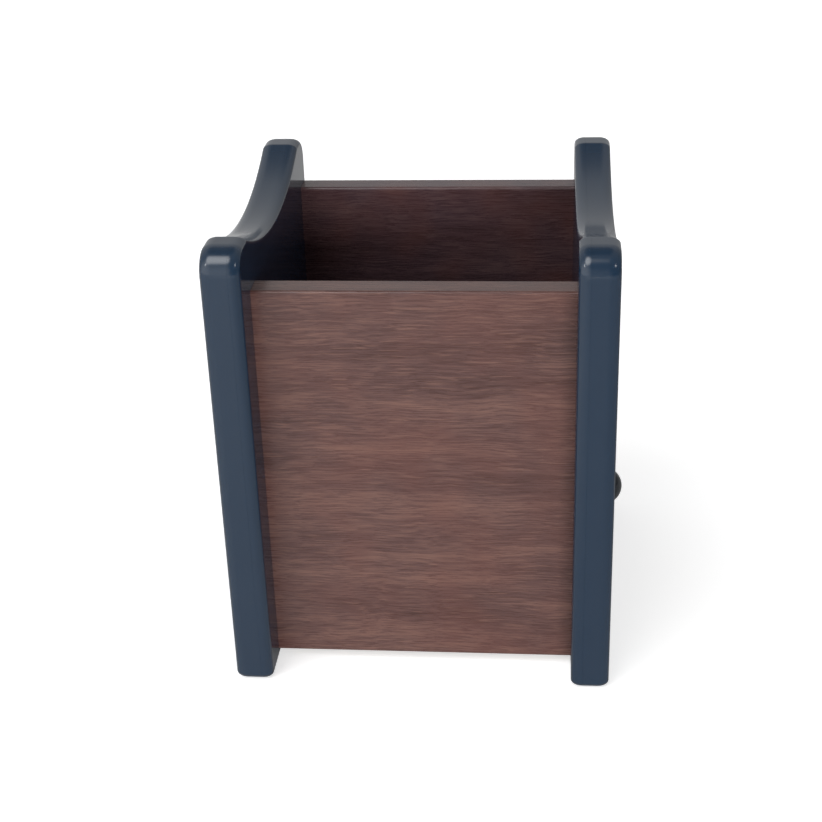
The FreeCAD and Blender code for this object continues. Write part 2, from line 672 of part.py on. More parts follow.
def drawer_knob():
    """Turned knob: short neck, flared round head with a domed end, blind bore behind."""
    body = new_body("drawer_knob", "field_face", "knob_height")
    sketch = new_sketch(body, "Outline", "XY_Plane")
    bore = "small_shank_diameter / 2 + thread_clearance"
    dome_start = ("knob_length - dome_height", "knob_diameter / 2")
    outline = [
        ("0", bore),
        ("0", "neck_diameter / 2"),
        ("neck_length", "neck_diameter / 2"),
        ("neck_length + knob_flare", "knob_diameter / 2"),
        dome_start,
        ("knob_length", "0"),
        ("knob_bore_depth", "0"),
        ("knob_bore_depth", bore),
    ]
    half_head, rise = value("knob_diameter / 2"), value("dome_height")
    radius = (half_head ** 2 + rise ** 2) / (2 * rise)
    centre = FreeCAD.Vector(value("knob_length") - radius, 0, 0)
    sphere = Part.Circle(centre, FreeCAD.Vector(0, 0, 1), radius)
    dome = outline.index(dome_start)
    following = outline[1:] + outline[:1]
    for place, (start, end) in enumerate(zip(outline, following)):
        if place == dome:
            shape = Part.ArcOfCircle(sphere, 0, math.asin(half_head / radius))
        else:
            shape = Part.LineSegment(vector(*start), vector(*end))
        sketch.addGeometry(shape, False)
    for place, (along, out) in enumerate(outline):
        before = (place - 1) % len(outline)
        starts = 2 if place == dome else 1
        ends = 1 if before == dome else 2
        sketch.addConstraint(Sketcher.Constraint("Coincident", before, ends, place, starts))
        pin_point(sketch, place, starts, along, out)
    sketch.addConstraint(Sketcher.Constraint("PointOnObject", dome, 3, -1))
    turned = body.newObject("PartDesign::Revolution", "Revolution")
    turned.Profile = sketch
    turned.ReferenceAxis = (sketch, ["H_Axis"])
    turned.Angle = 360
    doc.recompute()
    rims = (value("neck_length + knob_flare"), value("knob_length - dome_height"))
    fillet(body, turned, "knob_rounding",
           lambda edge: any(lies_in(edge, "X", place) for place in rims))
    return body


# Fasteners


def primitive(kind, place, **sizes):
    """A Part primitive standing at a height on its own axis, its sizes read from the sheet."""
    shape = doc.addObject("Part::" + kind, kind)
    for name, expression in sizes.items():
        shape.setExpression(name, bound(expression))
    shape.setExpression("Placement.Base.z", bound(place))
    return shape


def screw(family, length, place, outward):
    """Countersunk screw: its head's face at the place, its point away from outward."""
    shank, head = family + "_shank_diameter", family + "_head_diameter"
    head_height = "((%s - %s) / 2)" % (head, shank)
    body_end = "(tip_length - (%s))" % length
    pieces = [
        primitive("Cone", "-" + head_height, Radius1=shank + " / 2", Radius2=head + " / 2",
                  Height=head_height),
        primitive("Cylinder", body_end, Radius=shank + " / 2",
                  Height="%s - tip_length - %s" % (length, head_height)),
        primitive("Cone", "-(%s)" % length, Radius1="tip_flat_diameter / 2",
                  Radius2=shank + " / 2", Height="tip_length"),
    ]
    whole = doc.addObject("Part::MultiFuse", "ScrewBlank")
    whole.Shapes = pieces
    slots = []
    for long_side, short_side in (("Length", "Width"), ("Width", "Length")):
        slot = primitive("Box", "-slot_depth", Height="slot_depth + overrun",
                         **{long_side: head, short_side: "slot_width"})
        centre = {long_side: "(-%s / 2)" % head, short_side: "(-slot_width / 2)"}
        slot.setExpression("Placement.Base.x", bound(centre["Length"]))
        slot.setExpression("Placement.Base.y", bound(centre["Width"]))
        slots.append(slot)
    cross = doc.addObject("Part::MultiFuse", "CrossSlot")
    cross.Shapes = slots
    finished = doc.addObject("Part::Cut", "Screw")
    finished.Base = whole
    finished.Tool = cross
    turn = FreeCAD.Rotation(FreeCAD.Vector(0, 0, 1), FreeCAD.Vector(*outward))
    finished.Placement = FreeCAD.Placement(FreeCAD.Vector(), turn)
    for axis, expression in zip("xyz", place):
        finished.setExpression("Placement.Base." + axis, bound(expression))
    return finished


def screw_group(label, family, length, places, outward):
    """Screws of one kind as one sub-part."""
    group = doc.addObject("Part::Compound", label)
    group.Label = label
    group.Links = [screw(family, length, place, outward) for place in places]
    group.setExpression("Placement.Base.x", bound("origin_shift"))
    subparts.append(group)
    return group


def fasteners():
    """Every screw of the stand and of the drawer."""
    for label, side in (("left_panel_screws", LEFT), ("right_panel_screws", RIGHT)):
        places = [(signed(side, "seam"), across, up) for across, up in panel_screw_places()]
        screw_group(label, "panel", "panel_screw_length", places, (side, 0, 0))
    down = (0, 0, -1)
    ledge_length = "(ledge_thickness + small_bite)"
    for label, top in (("floor_screws", "floor_height"), ("base_screws", "base_height")):
        places = [(along, across, top + " - ledge_thickness")
                  for along, across in ledge_screw_places()]
        screw_group(label, "small", ledge_length, places, down)
    places = [(along, across, "base_height") for along, across in runner_screw_places()]
    screw_group("runner_screws", "small", "(base_thickness + small_bite)", places, down)
    backwards = (-1, 0, 0)
    places = [("tray_front - tray_wall", across, up) for across, up in front_screw_places()]
    screw_group("drawer_front_screws", "small", "(tray_wall + front_bite)", places, backwards)
    length = "(tray_wall + field_face - tray_front + knob_bite)"
    screw_group("knob_screw", "small", length,
                [("tray_front - tray_wall", "0", "knob_height")], backwards)


def build():
    """Make every sub-part."""
    fill_sheet()
    side_shell("left_side_shell", LEFT)
    side_liner("left_side_liner", LEFT)
    side_shell("right_side_shell", RIGHT)
    side_liner("right_side_liner", RIGHT)
    panel("front_panel", "front_board_face", "front_board_back", "front_board_middle")
    panel("rear_panel", "rear_board_face", "rear_board_back", "rear_board_middle")
    level_board("compartment_floor", "floor_height", "floor_thickness")
    base_board()
    runner("front_runner", FRONT)
    runner("rear_runner", REAR)
    drawer_tray()
    drawer_front()
    drawer_knob()
    fasteners()
    doc.recompute()


def check():
    """Stop if an object failed or a sub-part has no sound solid."""
    for thing in doc.Objects:
        if "Invalid" in thing.State or "Error" in thing.State:
            raise RuntimeError("%s failed: %s" % (thing.Label, thing.State))
    for subpart in subparts:
        shape = subpart.Shape
        if shape.isNull() or not shape.isValid() or not shape.Solids:
            raise RuntimeError("%s has no sound shape" % subpart.Label)


def export():
    """Write each sub-part to its own file."""
    os.makedirs("parts", exist_ok=True)
    for subpart in subparts:
        subpart.Shape.exportStep(os.path.join("parts", subpart.Label + ".step"))
        box = subpart.Shape.BoundBox
        print("%-20s %2d solids  %8.1f mm3  X %6.1f %6.1f  Y %6.1f %6.1f  Z %6.1f %6.1f" % (
            subpart.Label, len(subpart.Shape.Solids), subpart.Shape.Volume,
            box.XMin, box.XMax, box.YMin, box.YMax, box.ZMin, box.ZMax))


build()
check()
export()
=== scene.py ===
"""Looks of the pen stand with drawer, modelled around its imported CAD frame.

Two glossy moulded side plates hold a wood-grain front board and rear board, and a small drawer
pulls out through the right plate. Sizes are written in millimetres and become metres where they
reach Blender. +Z is up, +X to the right and +Y to the back, and the origin is the middle of the
whole outline on the ground.
"""
import json
import logging
import math
from contextlib import contextmanager
from dataclasses import dataclass, field, replace
from enum import Enum
from typing import Any, Callable, Iterator, Optional, Sequence

import bmesh
import bpy
from mathutils import Matrix, Vector

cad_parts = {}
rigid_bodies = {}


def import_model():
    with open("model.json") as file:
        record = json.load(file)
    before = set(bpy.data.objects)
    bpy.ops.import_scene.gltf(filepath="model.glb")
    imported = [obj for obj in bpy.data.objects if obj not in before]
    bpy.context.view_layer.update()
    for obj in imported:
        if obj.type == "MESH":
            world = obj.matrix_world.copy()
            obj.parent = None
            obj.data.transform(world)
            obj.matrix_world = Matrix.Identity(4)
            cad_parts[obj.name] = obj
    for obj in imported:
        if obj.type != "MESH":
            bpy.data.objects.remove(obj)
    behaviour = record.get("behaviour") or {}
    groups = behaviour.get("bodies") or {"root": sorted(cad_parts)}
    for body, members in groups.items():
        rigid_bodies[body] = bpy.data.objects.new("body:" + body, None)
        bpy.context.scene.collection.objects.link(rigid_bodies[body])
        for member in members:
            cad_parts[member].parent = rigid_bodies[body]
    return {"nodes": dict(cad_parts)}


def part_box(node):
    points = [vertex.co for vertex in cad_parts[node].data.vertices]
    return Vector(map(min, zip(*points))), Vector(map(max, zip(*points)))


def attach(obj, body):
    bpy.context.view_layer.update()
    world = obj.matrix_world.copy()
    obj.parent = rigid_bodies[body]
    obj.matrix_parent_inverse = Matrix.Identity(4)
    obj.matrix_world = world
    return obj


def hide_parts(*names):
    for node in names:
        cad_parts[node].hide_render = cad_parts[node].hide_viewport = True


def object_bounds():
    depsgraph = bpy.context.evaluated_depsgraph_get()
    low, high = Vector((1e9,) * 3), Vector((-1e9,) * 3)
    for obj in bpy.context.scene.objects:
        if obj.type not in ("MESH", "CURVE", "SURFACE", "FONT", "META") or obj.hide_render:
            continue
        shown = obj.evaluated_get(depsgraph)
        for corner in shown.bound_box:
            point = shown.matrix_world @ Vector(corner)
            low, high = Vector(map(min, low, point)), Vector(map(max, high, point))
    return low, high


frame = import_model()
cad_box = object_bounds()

log = logging.getLogger("pen_stand")

# A test says whether an element of a mesh is wanted, and inputs say what a node is fed with.
Test = Callable[[Any], bool]
Inputs = dict[Any, Any]
Pair = tuple[float, float]
Triple = tuple[float, float, float]
Material = bpy.types.Material
Tree = bpy.types.NodeTree
Node = bpy.types.Node
Socket = bpy.types.NodeSocket

MM = 0.001  # one millimetre in metres
SAME_PLACE = 2e-6  # how many metres apart two things in the same place may be
PARALLEL = 0.999  # the least cosine of the angle between parallel directions
FACING = 0.9  # the least part of a face's normal that lies along the axis it faces
SHARP_EDGE = 50.0  # the angle in degrees from which an edge counts as sharp


class Side(Enum):
    """Which side of the stand a plate is on, as the sign of X."""

    LEFT = -1
    RIGHT = 1


class Axis(Enum):
    """A direction of the frame, as its place in a coordinate."""

    X = 0
    Y = 1
    Z = 2

    @property
    def vector(self) -> Vector:
        """The unit vector along the axis."""
        return Vector([1.0 if place == self.value else 0.0 for place in range(3)])


class Element(Enum):
    """What is picked in edit mode."""

    VERTICES = "VERT"
    EDGES = "EDGE"
    FACES = "FACE"


def mm(*values: float) -> Vector:
    """A point or a size given in millimetres, in metres."""
    return Vector(values) * MM


def deselect_everything() -> None:
    """Leave no object selected, so that an operator acts only on what it is given."""
    for item in bpy.context.scene.objects:
        item.select_set(False)


def at(axis: Axis, place: float) -> Test:
    """A test for elements that lie wholly at a place, in metres, along an axis."""
    return lambda element: all(
        abs(vertex.co[axis.value] - place) < SAME_PLACE for vertex in element.verts
    )


def open_at(axis: Axis, place: float) -> Test:
    """A test for the edges of an open end that lies at a place along an axis."""
    here = at(axis, place)
    return lambda edge: edge.is_boundary and here(edge)


def parallel_to(axis: Axis) -> Test:
    """A test for edges that are parallel to an axis."""

    def is_parallel(edge: bmesh.types.BMEdge) -> bool:
        """Whether the edge's direction is the axis's, either way round."""
        direction = (edge.verts[1].co - edge.verts[0].co).normalized()
        return abs(direction.dot(axis.vector)) > PARALLEL

    return is_parallel


# Modelling


class Workpiece:
    """One mesh object while it is being shaped with Blender's modelling tools."""

    def __init__(self, name: str) -> None:
        """Take over the object that a primitive operator has just made.

        Args:
            name: the piece's name.
        """
        self.object = bpy.context.object
        self.object.name = name
        self.object.data.name = name

    @classmethod
    def block(cls, name: str, low: Vector, high: Vector) -> "Workpiece":
        """Make a block between two opposite corners.

        Args:
            name: the piece's name.
            low: its lowest corner in metres.
            high: its highest corner in metres.

        Returns:
            The block.
        """
        deselect_everything()
        bpy.ops.mesh.primitive_cube_add(size=1.0, location=(low + high) / 2)
        piece = cls(name)
        piece.object.scale = high - low
        return piece.settle()

    @classmethod
    def rod(cls, name: str, start: Vector, axis: Axis, length: float, radius: float) -> "Workpiece":
        """Make a round bar.

        Args:
            name: the piece's name.
            start: the middle of its first end in metres.
            axis: the axis that it runs along.
            length: its length in metres, negative to run the other way.
            radius: its radius in metres.

        Returns:
            The bar.
        """
        deselect_everything()
        direction = axis.vector * math.copysign(1.0, length)
        bpy.ops.mesh.primitive_cylinder_add(
            vertices=32,
            radius=radius,
            depth=abs(length),
            location=start + axis.vector * (length / 2),
            rotation=Vector((0, 0, 1)).rotation_difference(direction).to_euler(),
        )
        return cls(name).settle()

    def activate(self) -> None:
        """Make this piece the active object, with nothing else selected."""
        deselect_everything()
        self.object.select_set(True)
        bpy.context.view_layer.objects.active = self.object

    def settle(self) -> "Workpiece":
        """Put the object's place, turn and size into its mesh, and return the piece."""
        self.activate()
        bpy.ops.object.transform_apply(location=True, rotation=True, scale=True)
        return self

    @contextmanager
    def editing(self) -> Iterator[None]:
        """Edit mode on this piece alone, with nothing selected at first."""
        self.activate()
        bpy.ops.object.mode_set(mode="EDIT")
        bpy.ops.mesh.select_mode(type="VERT")
        bpy.ops.mesh.select_all(action="DESELECT")
        yield
        bpy.ops.object.mode_set(mode="OBJECT")

    def pick(self, kind: Element, test: Test) -> None:
        """Select the elements that pass a test and nothing else, in edit mode.

        Args:
            kind: the kind of element.
            test: says whether an element is wanted.
        """
        bpy.ops.mesh.select_all(action="DESELECT")
        bpy.ops.mesh.select_mode(type=kind.value)
        mesh = bmesh.from_edit_mesh(self.object.data)
        elements = {
            Element.VERTICES: mesh.verts,
            Element.EDGES: mesh.edges,
            Element.FACES: mesh.faces,
        }[kind]
        wanted = [element for element in elements if test(element)]
        if not wanted:
            raise ValueError("%s: nothing to pick" % self.object.name)
        for element in wanted:
            element.select_set(True)
        bmesh.update_edit_mesh(self.object.data)

    def edit(self, kind: Element, test: Test, operator: Callable[..., Any],
             **settings: Any) -> None:
        """Use an edit-mode operator on the elements that pass a test.

        Args:
            kind: the kind of element.
            test: says whether an element is wanted.
            operator: the operator.
            settings: what the operator is called with.
        """
        with self.editing():
            self.pick(kind, test)
            operator(**settings)

    def cap(self, axis: Axis, place: float) -> None:
        """Close the open end that lies at a place along an axis."""
        self.edit(Element.EDGES, open_at(axis, place), bpy.ops.mesh.edge_face_add)

    def open_end(self, axis: Axis, place: float) -> None:
        """Take away the many-sided face that closes an end."""
        here = at(axis, place)
        self.edit(Element.FACES, lambda face: len(face.verts) > 4 and here(face),
                  bpy.ops.mesh.delete, type="ONLY_FACE")

    def bridge(self, axis: Axis, place: float) -> None:
        """Join the two open outlines that lie at a place with a strip of faces."""
        self.edit(Element.EDGES, open_at(axis, place), bpy.ops.mesh.bridge_edge_loops)

    def round_edges(self, test: Test, radius: float, segments: int) -> None:
        """Round the edges that pass a test, to a radius in millimetres, in so many strips."""
        self.edit(Element.EDGES, test, bpy.ops.mesh.bevel, offset=radius * MM,
                  segments=segments, profile=0.5, affect="EDGES", clamp_overlap=False)

    def tidy(self) -> None:
        """Join the vertices that meet and turn every face outwards."""
        with self.editing():
            bpy.ops.mesh.select_all(action="SELECT")
            bpy.ops.mesh.remove_doubles(threshold=SAME_PLACE)
            bpy.ops.mesh.normals_make_consistent(inside=False)

    def turn_inside_out(self) -> None:
        """Turn the faces inwards, as those of a hollow are."""
        with self.editing():
            bpy.ops.mesh.select_all(action="SELECT")
            bpy.ops.mesh.normals_make_consistent(inside=True)

    def join(self, others: Sequence["Workpiece"]) -> None:
        """Take other pieces into this one's mesh.

        Args:
            others: the other pieces.
        """
        self.activate()
        for other in others:
            other.object.select_set(True)
        bpy.ops.object.join()

    def modify(self, kind: str, **settings: Any) -> None:
        """Add a modifier and apply it.

        Args:
            kind: Blender's name for the modifier.
            settings: the modifier's settings.
        """
        self.activate()
        modifier = self.object.modifiers.new(kind.title(), kind)
        for name, setting in settings.items():
            setattr(modifier, name, setting)
        bpy.ops.object.modifier_apply(modifier=modifier.name)

    def combine(self, tool: "Workpiece", operation: str) -> None:
        """Cut a tool out of the piece or fuse it on, and remove the tool."""
        self.modify("BOOLEAN", object=tool.object, operation=operation, solver="EXACT")
        bpy.data.objects.remove(tool.object)

    def cut(self, tool: "Workpiece") -> None:
        """Cut a tool's shape out of the piece."""
        self.combine(tool, "DIFFERENCE")

    def fuse(self, tool: "Workpiece") -> None:
        """Make another piece part of this one."""
        self.combine(tool, "UNION")

    def soften(self, width: float) -> None:
        """Break the sharp edges that are left, with a bevel so many millimetres wide."""
        self.modify("BEVEL", width=width * MM, segments=2, limit_method="ANGLE",
                    angle_limit=math.radians(SHARP_EDGE), use_clamp_overlap=True,
                    miter_outer="MITER_ARC")

    def smooth(self, angle: float = 35.0) -> None:
        """Shade rounded parts smoothly and keep broad faces flat.

        Args:
            angle: the angle in degrees up to which an edge is shaded smoothly.
        """
        self.activate()
        bpy.ops.object.shade_smooth_by_angle(angle=math.radians(angle))
        self.modify("WEIGHTED_NORMAL", mode="FACE_AREA", weight=50, keep_sharp=True)

    def finish(self, body: str, node: str, slot: str, material: Material) -> None:
        """Dress the finished piece and let it stand for its CAD node.

        Args:
            body: the CAD body that the piece moves with.
            node: the CAD node that it stands for.
            slot: the record's material slot; not used.
            material: the material of the whole piece.
        """
        self.object.data.materials.clear()
        self.object.data.materials.append(material)
        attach(self.object, body)
        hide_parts(node)
        log.info("%s: %d faces, %s", self.object.name, len(self.object.data.polygons),
                 material.name)

    def paint(self, material: Material, test: Test) -> None:
        """Give the faces that pass a test a second material.

        Args:
            material: the second material.
            test: says whether a face is wanted.
        """
        self.object.data.materials.append(material)
        self.object.active_material_index = len(self.object.data.materials) - 1
        self.edit(Element.FACES, test, bpy.ops.object.material_slot_assign)


def dress(node: str, material: Material) -> None:
    """Put a material on every slot of a CAD node.

    Args:
        node: the node's name.
        material: its material.
    """
    item = frame["nodes"][node]
    if not item.material_slots:
        item.data.materials.append(material)
    for slot in item.material_slots:
        slot.material = material
    log.info("%s: CAD node, %s", node, material.name)


# Finishes


def linear(colour: str) -> tuple[float, ...]:
    """Turn an sRGB hex colour into Blender's linear values.

    Args:
        colour: the colour as #rrggbb.

    Returns:
        Red, green, blue and an alpha of one.
    """
    parts = [int(colour[place:place + 2], 16) / 255 for place in (1, 3, 5)]
    turned = [part / 12.92 if part <= 0.04045 else ((part + 0.055) / 1.055) ** 2.4
              for part in parts]
    return (*turned, 1.0)


def per_mm(size: float) -> float:
    """The scale of a pattern on metre coordinates whose features are so many millimetres."""
    return 1.0 / (size * MM)


def in_use(sockets: Any, name: Optional[str] = None) -> Socket:
    """The first socket that a node uses as it is set, or the first of that name."""
    return next(socket for socket in sockets
                if socket.enabled and name in (None, socket.name))


def feed(node: Node, inputs: Inputs) -> None:
    """Set a node's inputs.

    Args:
        node: the node.
        inputs: for each input, by name or number, a value, another node's output, or another
            node, which gives the first output that it uses.
    """
    for key, source in inputs.items():
        socket = node.inputs[key] if isinstance(key, int) else in_use(node.inputs, key)
        if isinstance(source, Node):
            source = in_use(source.outputs)
        if isinstance(source, Socket):
            node.id_data.links.new(source, socket)
        else:
            socket.default_value = source


def add_node(tree: Tree, kind: str, inputs: Optional[Inputs] = None,
             **settings: Any) -> Node:
    """Add a node with its settings, values and links.

    Args:
        tree: the node tree.
        kind: Blender's name for the node, without ShaderNode at its start.
        inputs: what its inputs are fed with.
        settings: the node's own settings.

    Returns:
        The new node.
    """
    node = tree.nodes.new("ShaderNode" + kind)
    for name, setting in settings.items():
        setattr(node, name, setting)
    feed(node, inputs or {})
    return node


def new_tree(owner: Any) -> Tree:
    """Turn on the nodes of a new material or world.

    Args:
        owner: the material or world.

    Returns:
        Its node tree, empty.
    """
    owner.use_nodes = True
    owner.node_tree.nodes.clear()
    return owner.node_tree


@dataclass(frozen=True)
class Finish:
    """A material of a real kind, with the values that its whole surface shares."""

    name: str
    colour: str
    roughness: float
    ior: float = 1.5
    metallic: float = 0.0

    def build(self) -> Material:
        """Make the Blender material, with the pattern of its own kind of surface."""
        material = bpy.data.materials.new(self.name)
        material.diffuse_color = linear(self.colour)
        tree = new_tree(material)
        shader = add_node(tree, "BsdfPrincipled", {
            "Base Color": linear(self.colour), "Roughness": self.roughness, "IOR": self.ior,
            "Metallic": self.metallic})
        add_node(tree, "OutputMaterial", {"Surface": shader})
        place = add_node(tree, "TexCoord").outputs["Object"]
        feed(shader, self.pattern(tree, place))
        return material

    def pattern(self, tree: Tree, place: Socket) -> Inputs:
        """Add the surface's colours, shine and relief.

        Args:
            tree: the material's node tree.
            place: the object coordinates, in metres.

        Returns:
            What the shader's inputs are fed with.
        """
        raise NotImplementedError


@dataclass(frozen=True)
class GlossMoulding(Finish):
    """High-gloss plastic, injection moulded in a polished tool.

    The eye sees a dark mirror, blue-black on the plates and black on the knob: the tool's slow
    waviness, a few hairlines from handling, and faint haze where hands and pens have rubbed.
    Sizes are in millimetres. The hairlines are wider than real ones, which wouldn't show.
    """

    rubbed: str = "#1c2e41"
    haze: float = 22.0
    haze_dulling: float = 0.07
    wave: float = 14.0
    wave_height: float = 0.05
    hairline: float = 0.5
    hairline_length: float = 40.0
    hairline_depth: float = 0.004
    hairline_turn: Triple = (0.5, 0.9, 0.3)

    def pattern(self, tree: Tree, place: Socket) -> Inputs:
        """Add waviness, hairlines and haze.

        Args:
            tree: the material's node tree.
            place: the object coordinates, in metres.

        Returns:
            What the shader's inputs are fed with.
        """
        haze = add_node(tree, "TexNoise", {
            "Vector": place, "Scale": per_mm(self.haze), "Detail": 6.0, "Roughness": 0.62})
        shine = add_node(tree, "MapRange", {
            "Value": haze, "From Min": 0.35, "From Max": 0.75, "To Min": self.roughness,
            "To Max": self.roughness + self.haze_dulling})
        tint = add_node(tree, "Mix", {
            "Factor": haze, "A": linear(self.colour), "B": linear(self.rubbed)}, data_type="RGBA")

        wave = add_node(tree, "TexNoise", {
            "Vector": place, "Scale": per_mm(self.wave), "Detail": 1.0, "Roughness": 0.4})
        slow = add_node(tree, "Bump", {
            "Height": wave, "Strength": 0.5, "Distance": self.wave_height * MM})
        across = per_mm(self.hairline)
        turned = add_node(tree, "Mapping", {
            "Vector": place, "Rotation": self.hairline_turn,
            "Scale": (across, across, per_mm(self.hairline_length))})
        lines = add_node(tree, "TexNoise", {"Vector": turned, "Scale": 1.0, "Detail": 2.0})
        scratch = add_node(tree, "MapRange", {
            "Value": lines, "From Min": 0.72, "From Max": 0.8, "To Min": 0.0, "To Max": 1.0})
        fine = add_node(tree, "Bump", {
            "Height": scratch, "Strength": 0.15, "Distance": self.hairline_depth * MM,
            "Normal": slow})
        return {"Base Color": tint, "Roughness": shine, "Normal": fine}


@dataclass(frozen=True)
class GrainFilm(Finish):
    """Printed wood-grain film, pressed on to fibreboard.

    The eye sees warm brown with fine wavy streaks along the grain, broader bands of lighter and
    redder brown, short dark pores, and the soft shine of a lacquered print. Streaks, bands and
    pores have a length and a width, in millimetres as the other sizes are.
    """

    light: str = "#79594f"
    dark: str = "#442c28"
    ruddy: str = "#663f37"
    grain: Axis = Axis.X
    streak: Pair = (10.0, 0.34)
    band: Pair = (70.0, 6.0)
    pale_streak: Pair = (9.0, 0.45)
    pore: Pair = (3.2, 0.22)
    patch: float = 16.0
    bend: float = 18.0
    bend_reach: float = 2.2
    relief_height: float = 0.05

    def pattern(self, tree: Tree, place: Socket) -> Inputs:
        """Add the grain's streaks, bands, pores and print relief.

        Args:
            tree: the material's node tree.
            place: the object coordinates, in metres.

        Returns:
            What the shader's inputs are fed with.
        """
        wander = add_node(tree, "TexNoise", {
            "Vector": place, "Scale": per_mm(self.bend), "Detail": 2.0})
        drift = add_node(tree, "VectorMath", {
            0: wander.outputs["Color"], 1: (0.5, 0.5, 0.5)}, operation="SUBTRACT")
        reach = self.bend_reach * MM
        bent = add_node(tree, "VectorMath", {
            0: drift, 1: (reach, reach, reach), 2: place}, operation="MULTIPLY_ADD")

        def marks(size: Pair, detail: float) -> Node:
            """Draw noise out along the grain.

            Args:
                size: the length and width of the marks that it makes.
                detail: how much finer noise is in it.

            Returns:
                The noise.
            """
            length, width = size
            scale = [per_mm(length if axis is self.grain else width) for axis in Axis]
            scaled = add_node(tree, "Mapping", {"Vector": bent, "Scale": scale})
            return add_node(tree, "TexNoise", {
                "Vector": scaled, "Scale": 1.0, "Detail": detail, "Roughness": 0.6})

        fine = marks(self.streak, 3.0)
        figure = add_node(tree, "Mix", {"Factor": 0.45, "A": fine, "B": marks(self.band, 2.0)})
        colour = add_node(tree, "ValToRGB", {"Fac": figure})
        ramp = colour.color_ramp
        ramp.elements[0].position = 0.32
        ramp.elements[0].color = linear(self.dark)
        ramp.elements[1].position = 0.68
        ramp.elements[1].color = linear(self.light)
        ramp.elements.new(0.5).color = linear(self.colour)

        patches = add_node(tree, "TexNoise", {
            "Vector": place, "Scale": per_mm(self.patch), "Detail": 1.0})
        for where, start, full, share, over in (
                (patches, 0.4, 0.7, 0.35, self.ruddy),
                (marks(self.pale_streak, 1.0), 0.56, 0.68, 0.5, self.light),
                (marks(self.pore, 1.0), 0.66, 0.74, 0.45, self.dark)):
            amount = add_node(tree, "MapRange", {
                "Value": where, "From Min": start, "From Max": full, "To Min": 0.0,
                "To Max": share})
            colour = add_node(tree, "Mix", {
                "Factor": amount, "A": colour, "B": linear(over)}, data_type="RGBA")

        shine = add_node(tree, "MapRange", {
            "Value": fine, "From Min": 0.3, "From Max": 0.7, "To Min": self.roughness - 0.06,
            "To Max": self.roughness + 0.08})
        relief = add_node(tree, "Bump", {
            "Height": figure, "Strength": 0.35, "Distance": self.relief_height * MM})
        return {"Base Color": colour, "Roughness": shine, "Normal": relief}


@dataclass(frozen=True)
class Fibreboard(Finish):
    """Bare fibreboard, sawn.

    The eye sees matt felt with pale and dark fibres, and clumps of them a few millimetres wide.
    Sizes are in millimetres, and the shades of the fibres are shares of the board's red, green
    and blue. The fibres are coarser than real ones, which wouldn't show.
    """

    fibre: float = 0.35
    clump: float = 6.0
    relief_height: float = 0.06
    dark_fibre: Triple = (0.6, 0.58, 0.55)
    pale_fibre: Triple = (1.35, 1.35, 1.35)

    def pattern(self, tree: Tree, place: Socket) -> Inputs:
        """Add fibres, clumps and a rough relief.

        Args:
            tree: the material's node tree.
            place: the object coordinates, in metres.

        Returns:
            What the shader's inputs are fed with.
        """
        fibres = add_node(tree, "TexNoise", {
            "Vector": place, "Scale": per_mm(self.fibre), "Detail": 4.0, "Roughness": 0.7})
        clumps = add_node(tree, "TexNoise", {
            "Vector": place, "Scale": per_mm(self.clump), "Detail": 2.0})
        mixed = add_node(tree, "Mix", {"Factor": 0.35, "A": fibres, "B": clumps})
        colours = add_node(tree, "ValToRGB", {"Fac": mixed})
        stops = zip(colours.color_ramp.elements, (0.3, 0.7), (self.dark_fibre, self.pale_fibre))
        for stop, position, shares in stops:
            stop.position = position
            shade = [part * share for part, share in zip(linear(self.colour), shares)]
            stop.color = (*shade, 1.0)
        relief = add_node(tree, "Bump", {
            "Height": fibres, "Strength": 0.5, "Distance": self.relief_height * MM})
        return {"Base Color": colours, "Normal": relief}


@dataclass(frozen=True)
class SatinMoulding(Finish):
    """Black polypropylene, injection moulded in a spark-eroded tool.

    The eye sees a soft black sheen broken up by a pebbled texture of about a third of a
    millimetre, greyer where it has been rubbed. Sizes are in millimetres.
    """

    worn: str = "#2c2f34"
    wear: float = 17.0
    wear_polish: float = 0.08
    pebble: float = 0.35
    pebble_height: float = 0.03

    def pattern(self, tree: Tree, place: Socket) -> Inputs:
        """Add the pebbled texture and rubbed patches.

        Args:
            tree: the material's node tree.
            place: the object coordinates, in metres.

        Returns:
            What the shader's inputs are fed with.
        """
        wear = add_node(tree, "TexNoise", {
            "Vector": place, "Scale": per_mm(self.wear), "Detail": 5.0, "Roughness": 0.65})
        worn = add_node(tree, "MapRange", {
            "Value": wear, "From Min": 0.4, "From Max": 0.75, "To Min": 0.0, "To Max": 0.5})
        tint = add_node(tree, "Mix", {
            "Factor": worn, "A": linear(self.colour), "B": linear(self.worn)}, data_type="RGBA")
        shine = add_node(tree, "MapRange", {
            "Value": wear, "From Min": 0.35, "From Max": 0.75,
            "To Min": self.roughness + self.wear_polish,
            "To Max": self.roughness - self.wear_polish})
        pebbles = add_node(tree, "TexVoronoi", {"Vector": place, "Scale": per_mm(self.pebble)})
        relief = add_node(tree, "Bump", {
            "Height": pebbles, "Strength": 0.4, "Distance": self.pebble_height * MM})
        return {"Base Color": tint, "Roughness": shine, "Normal": relief}


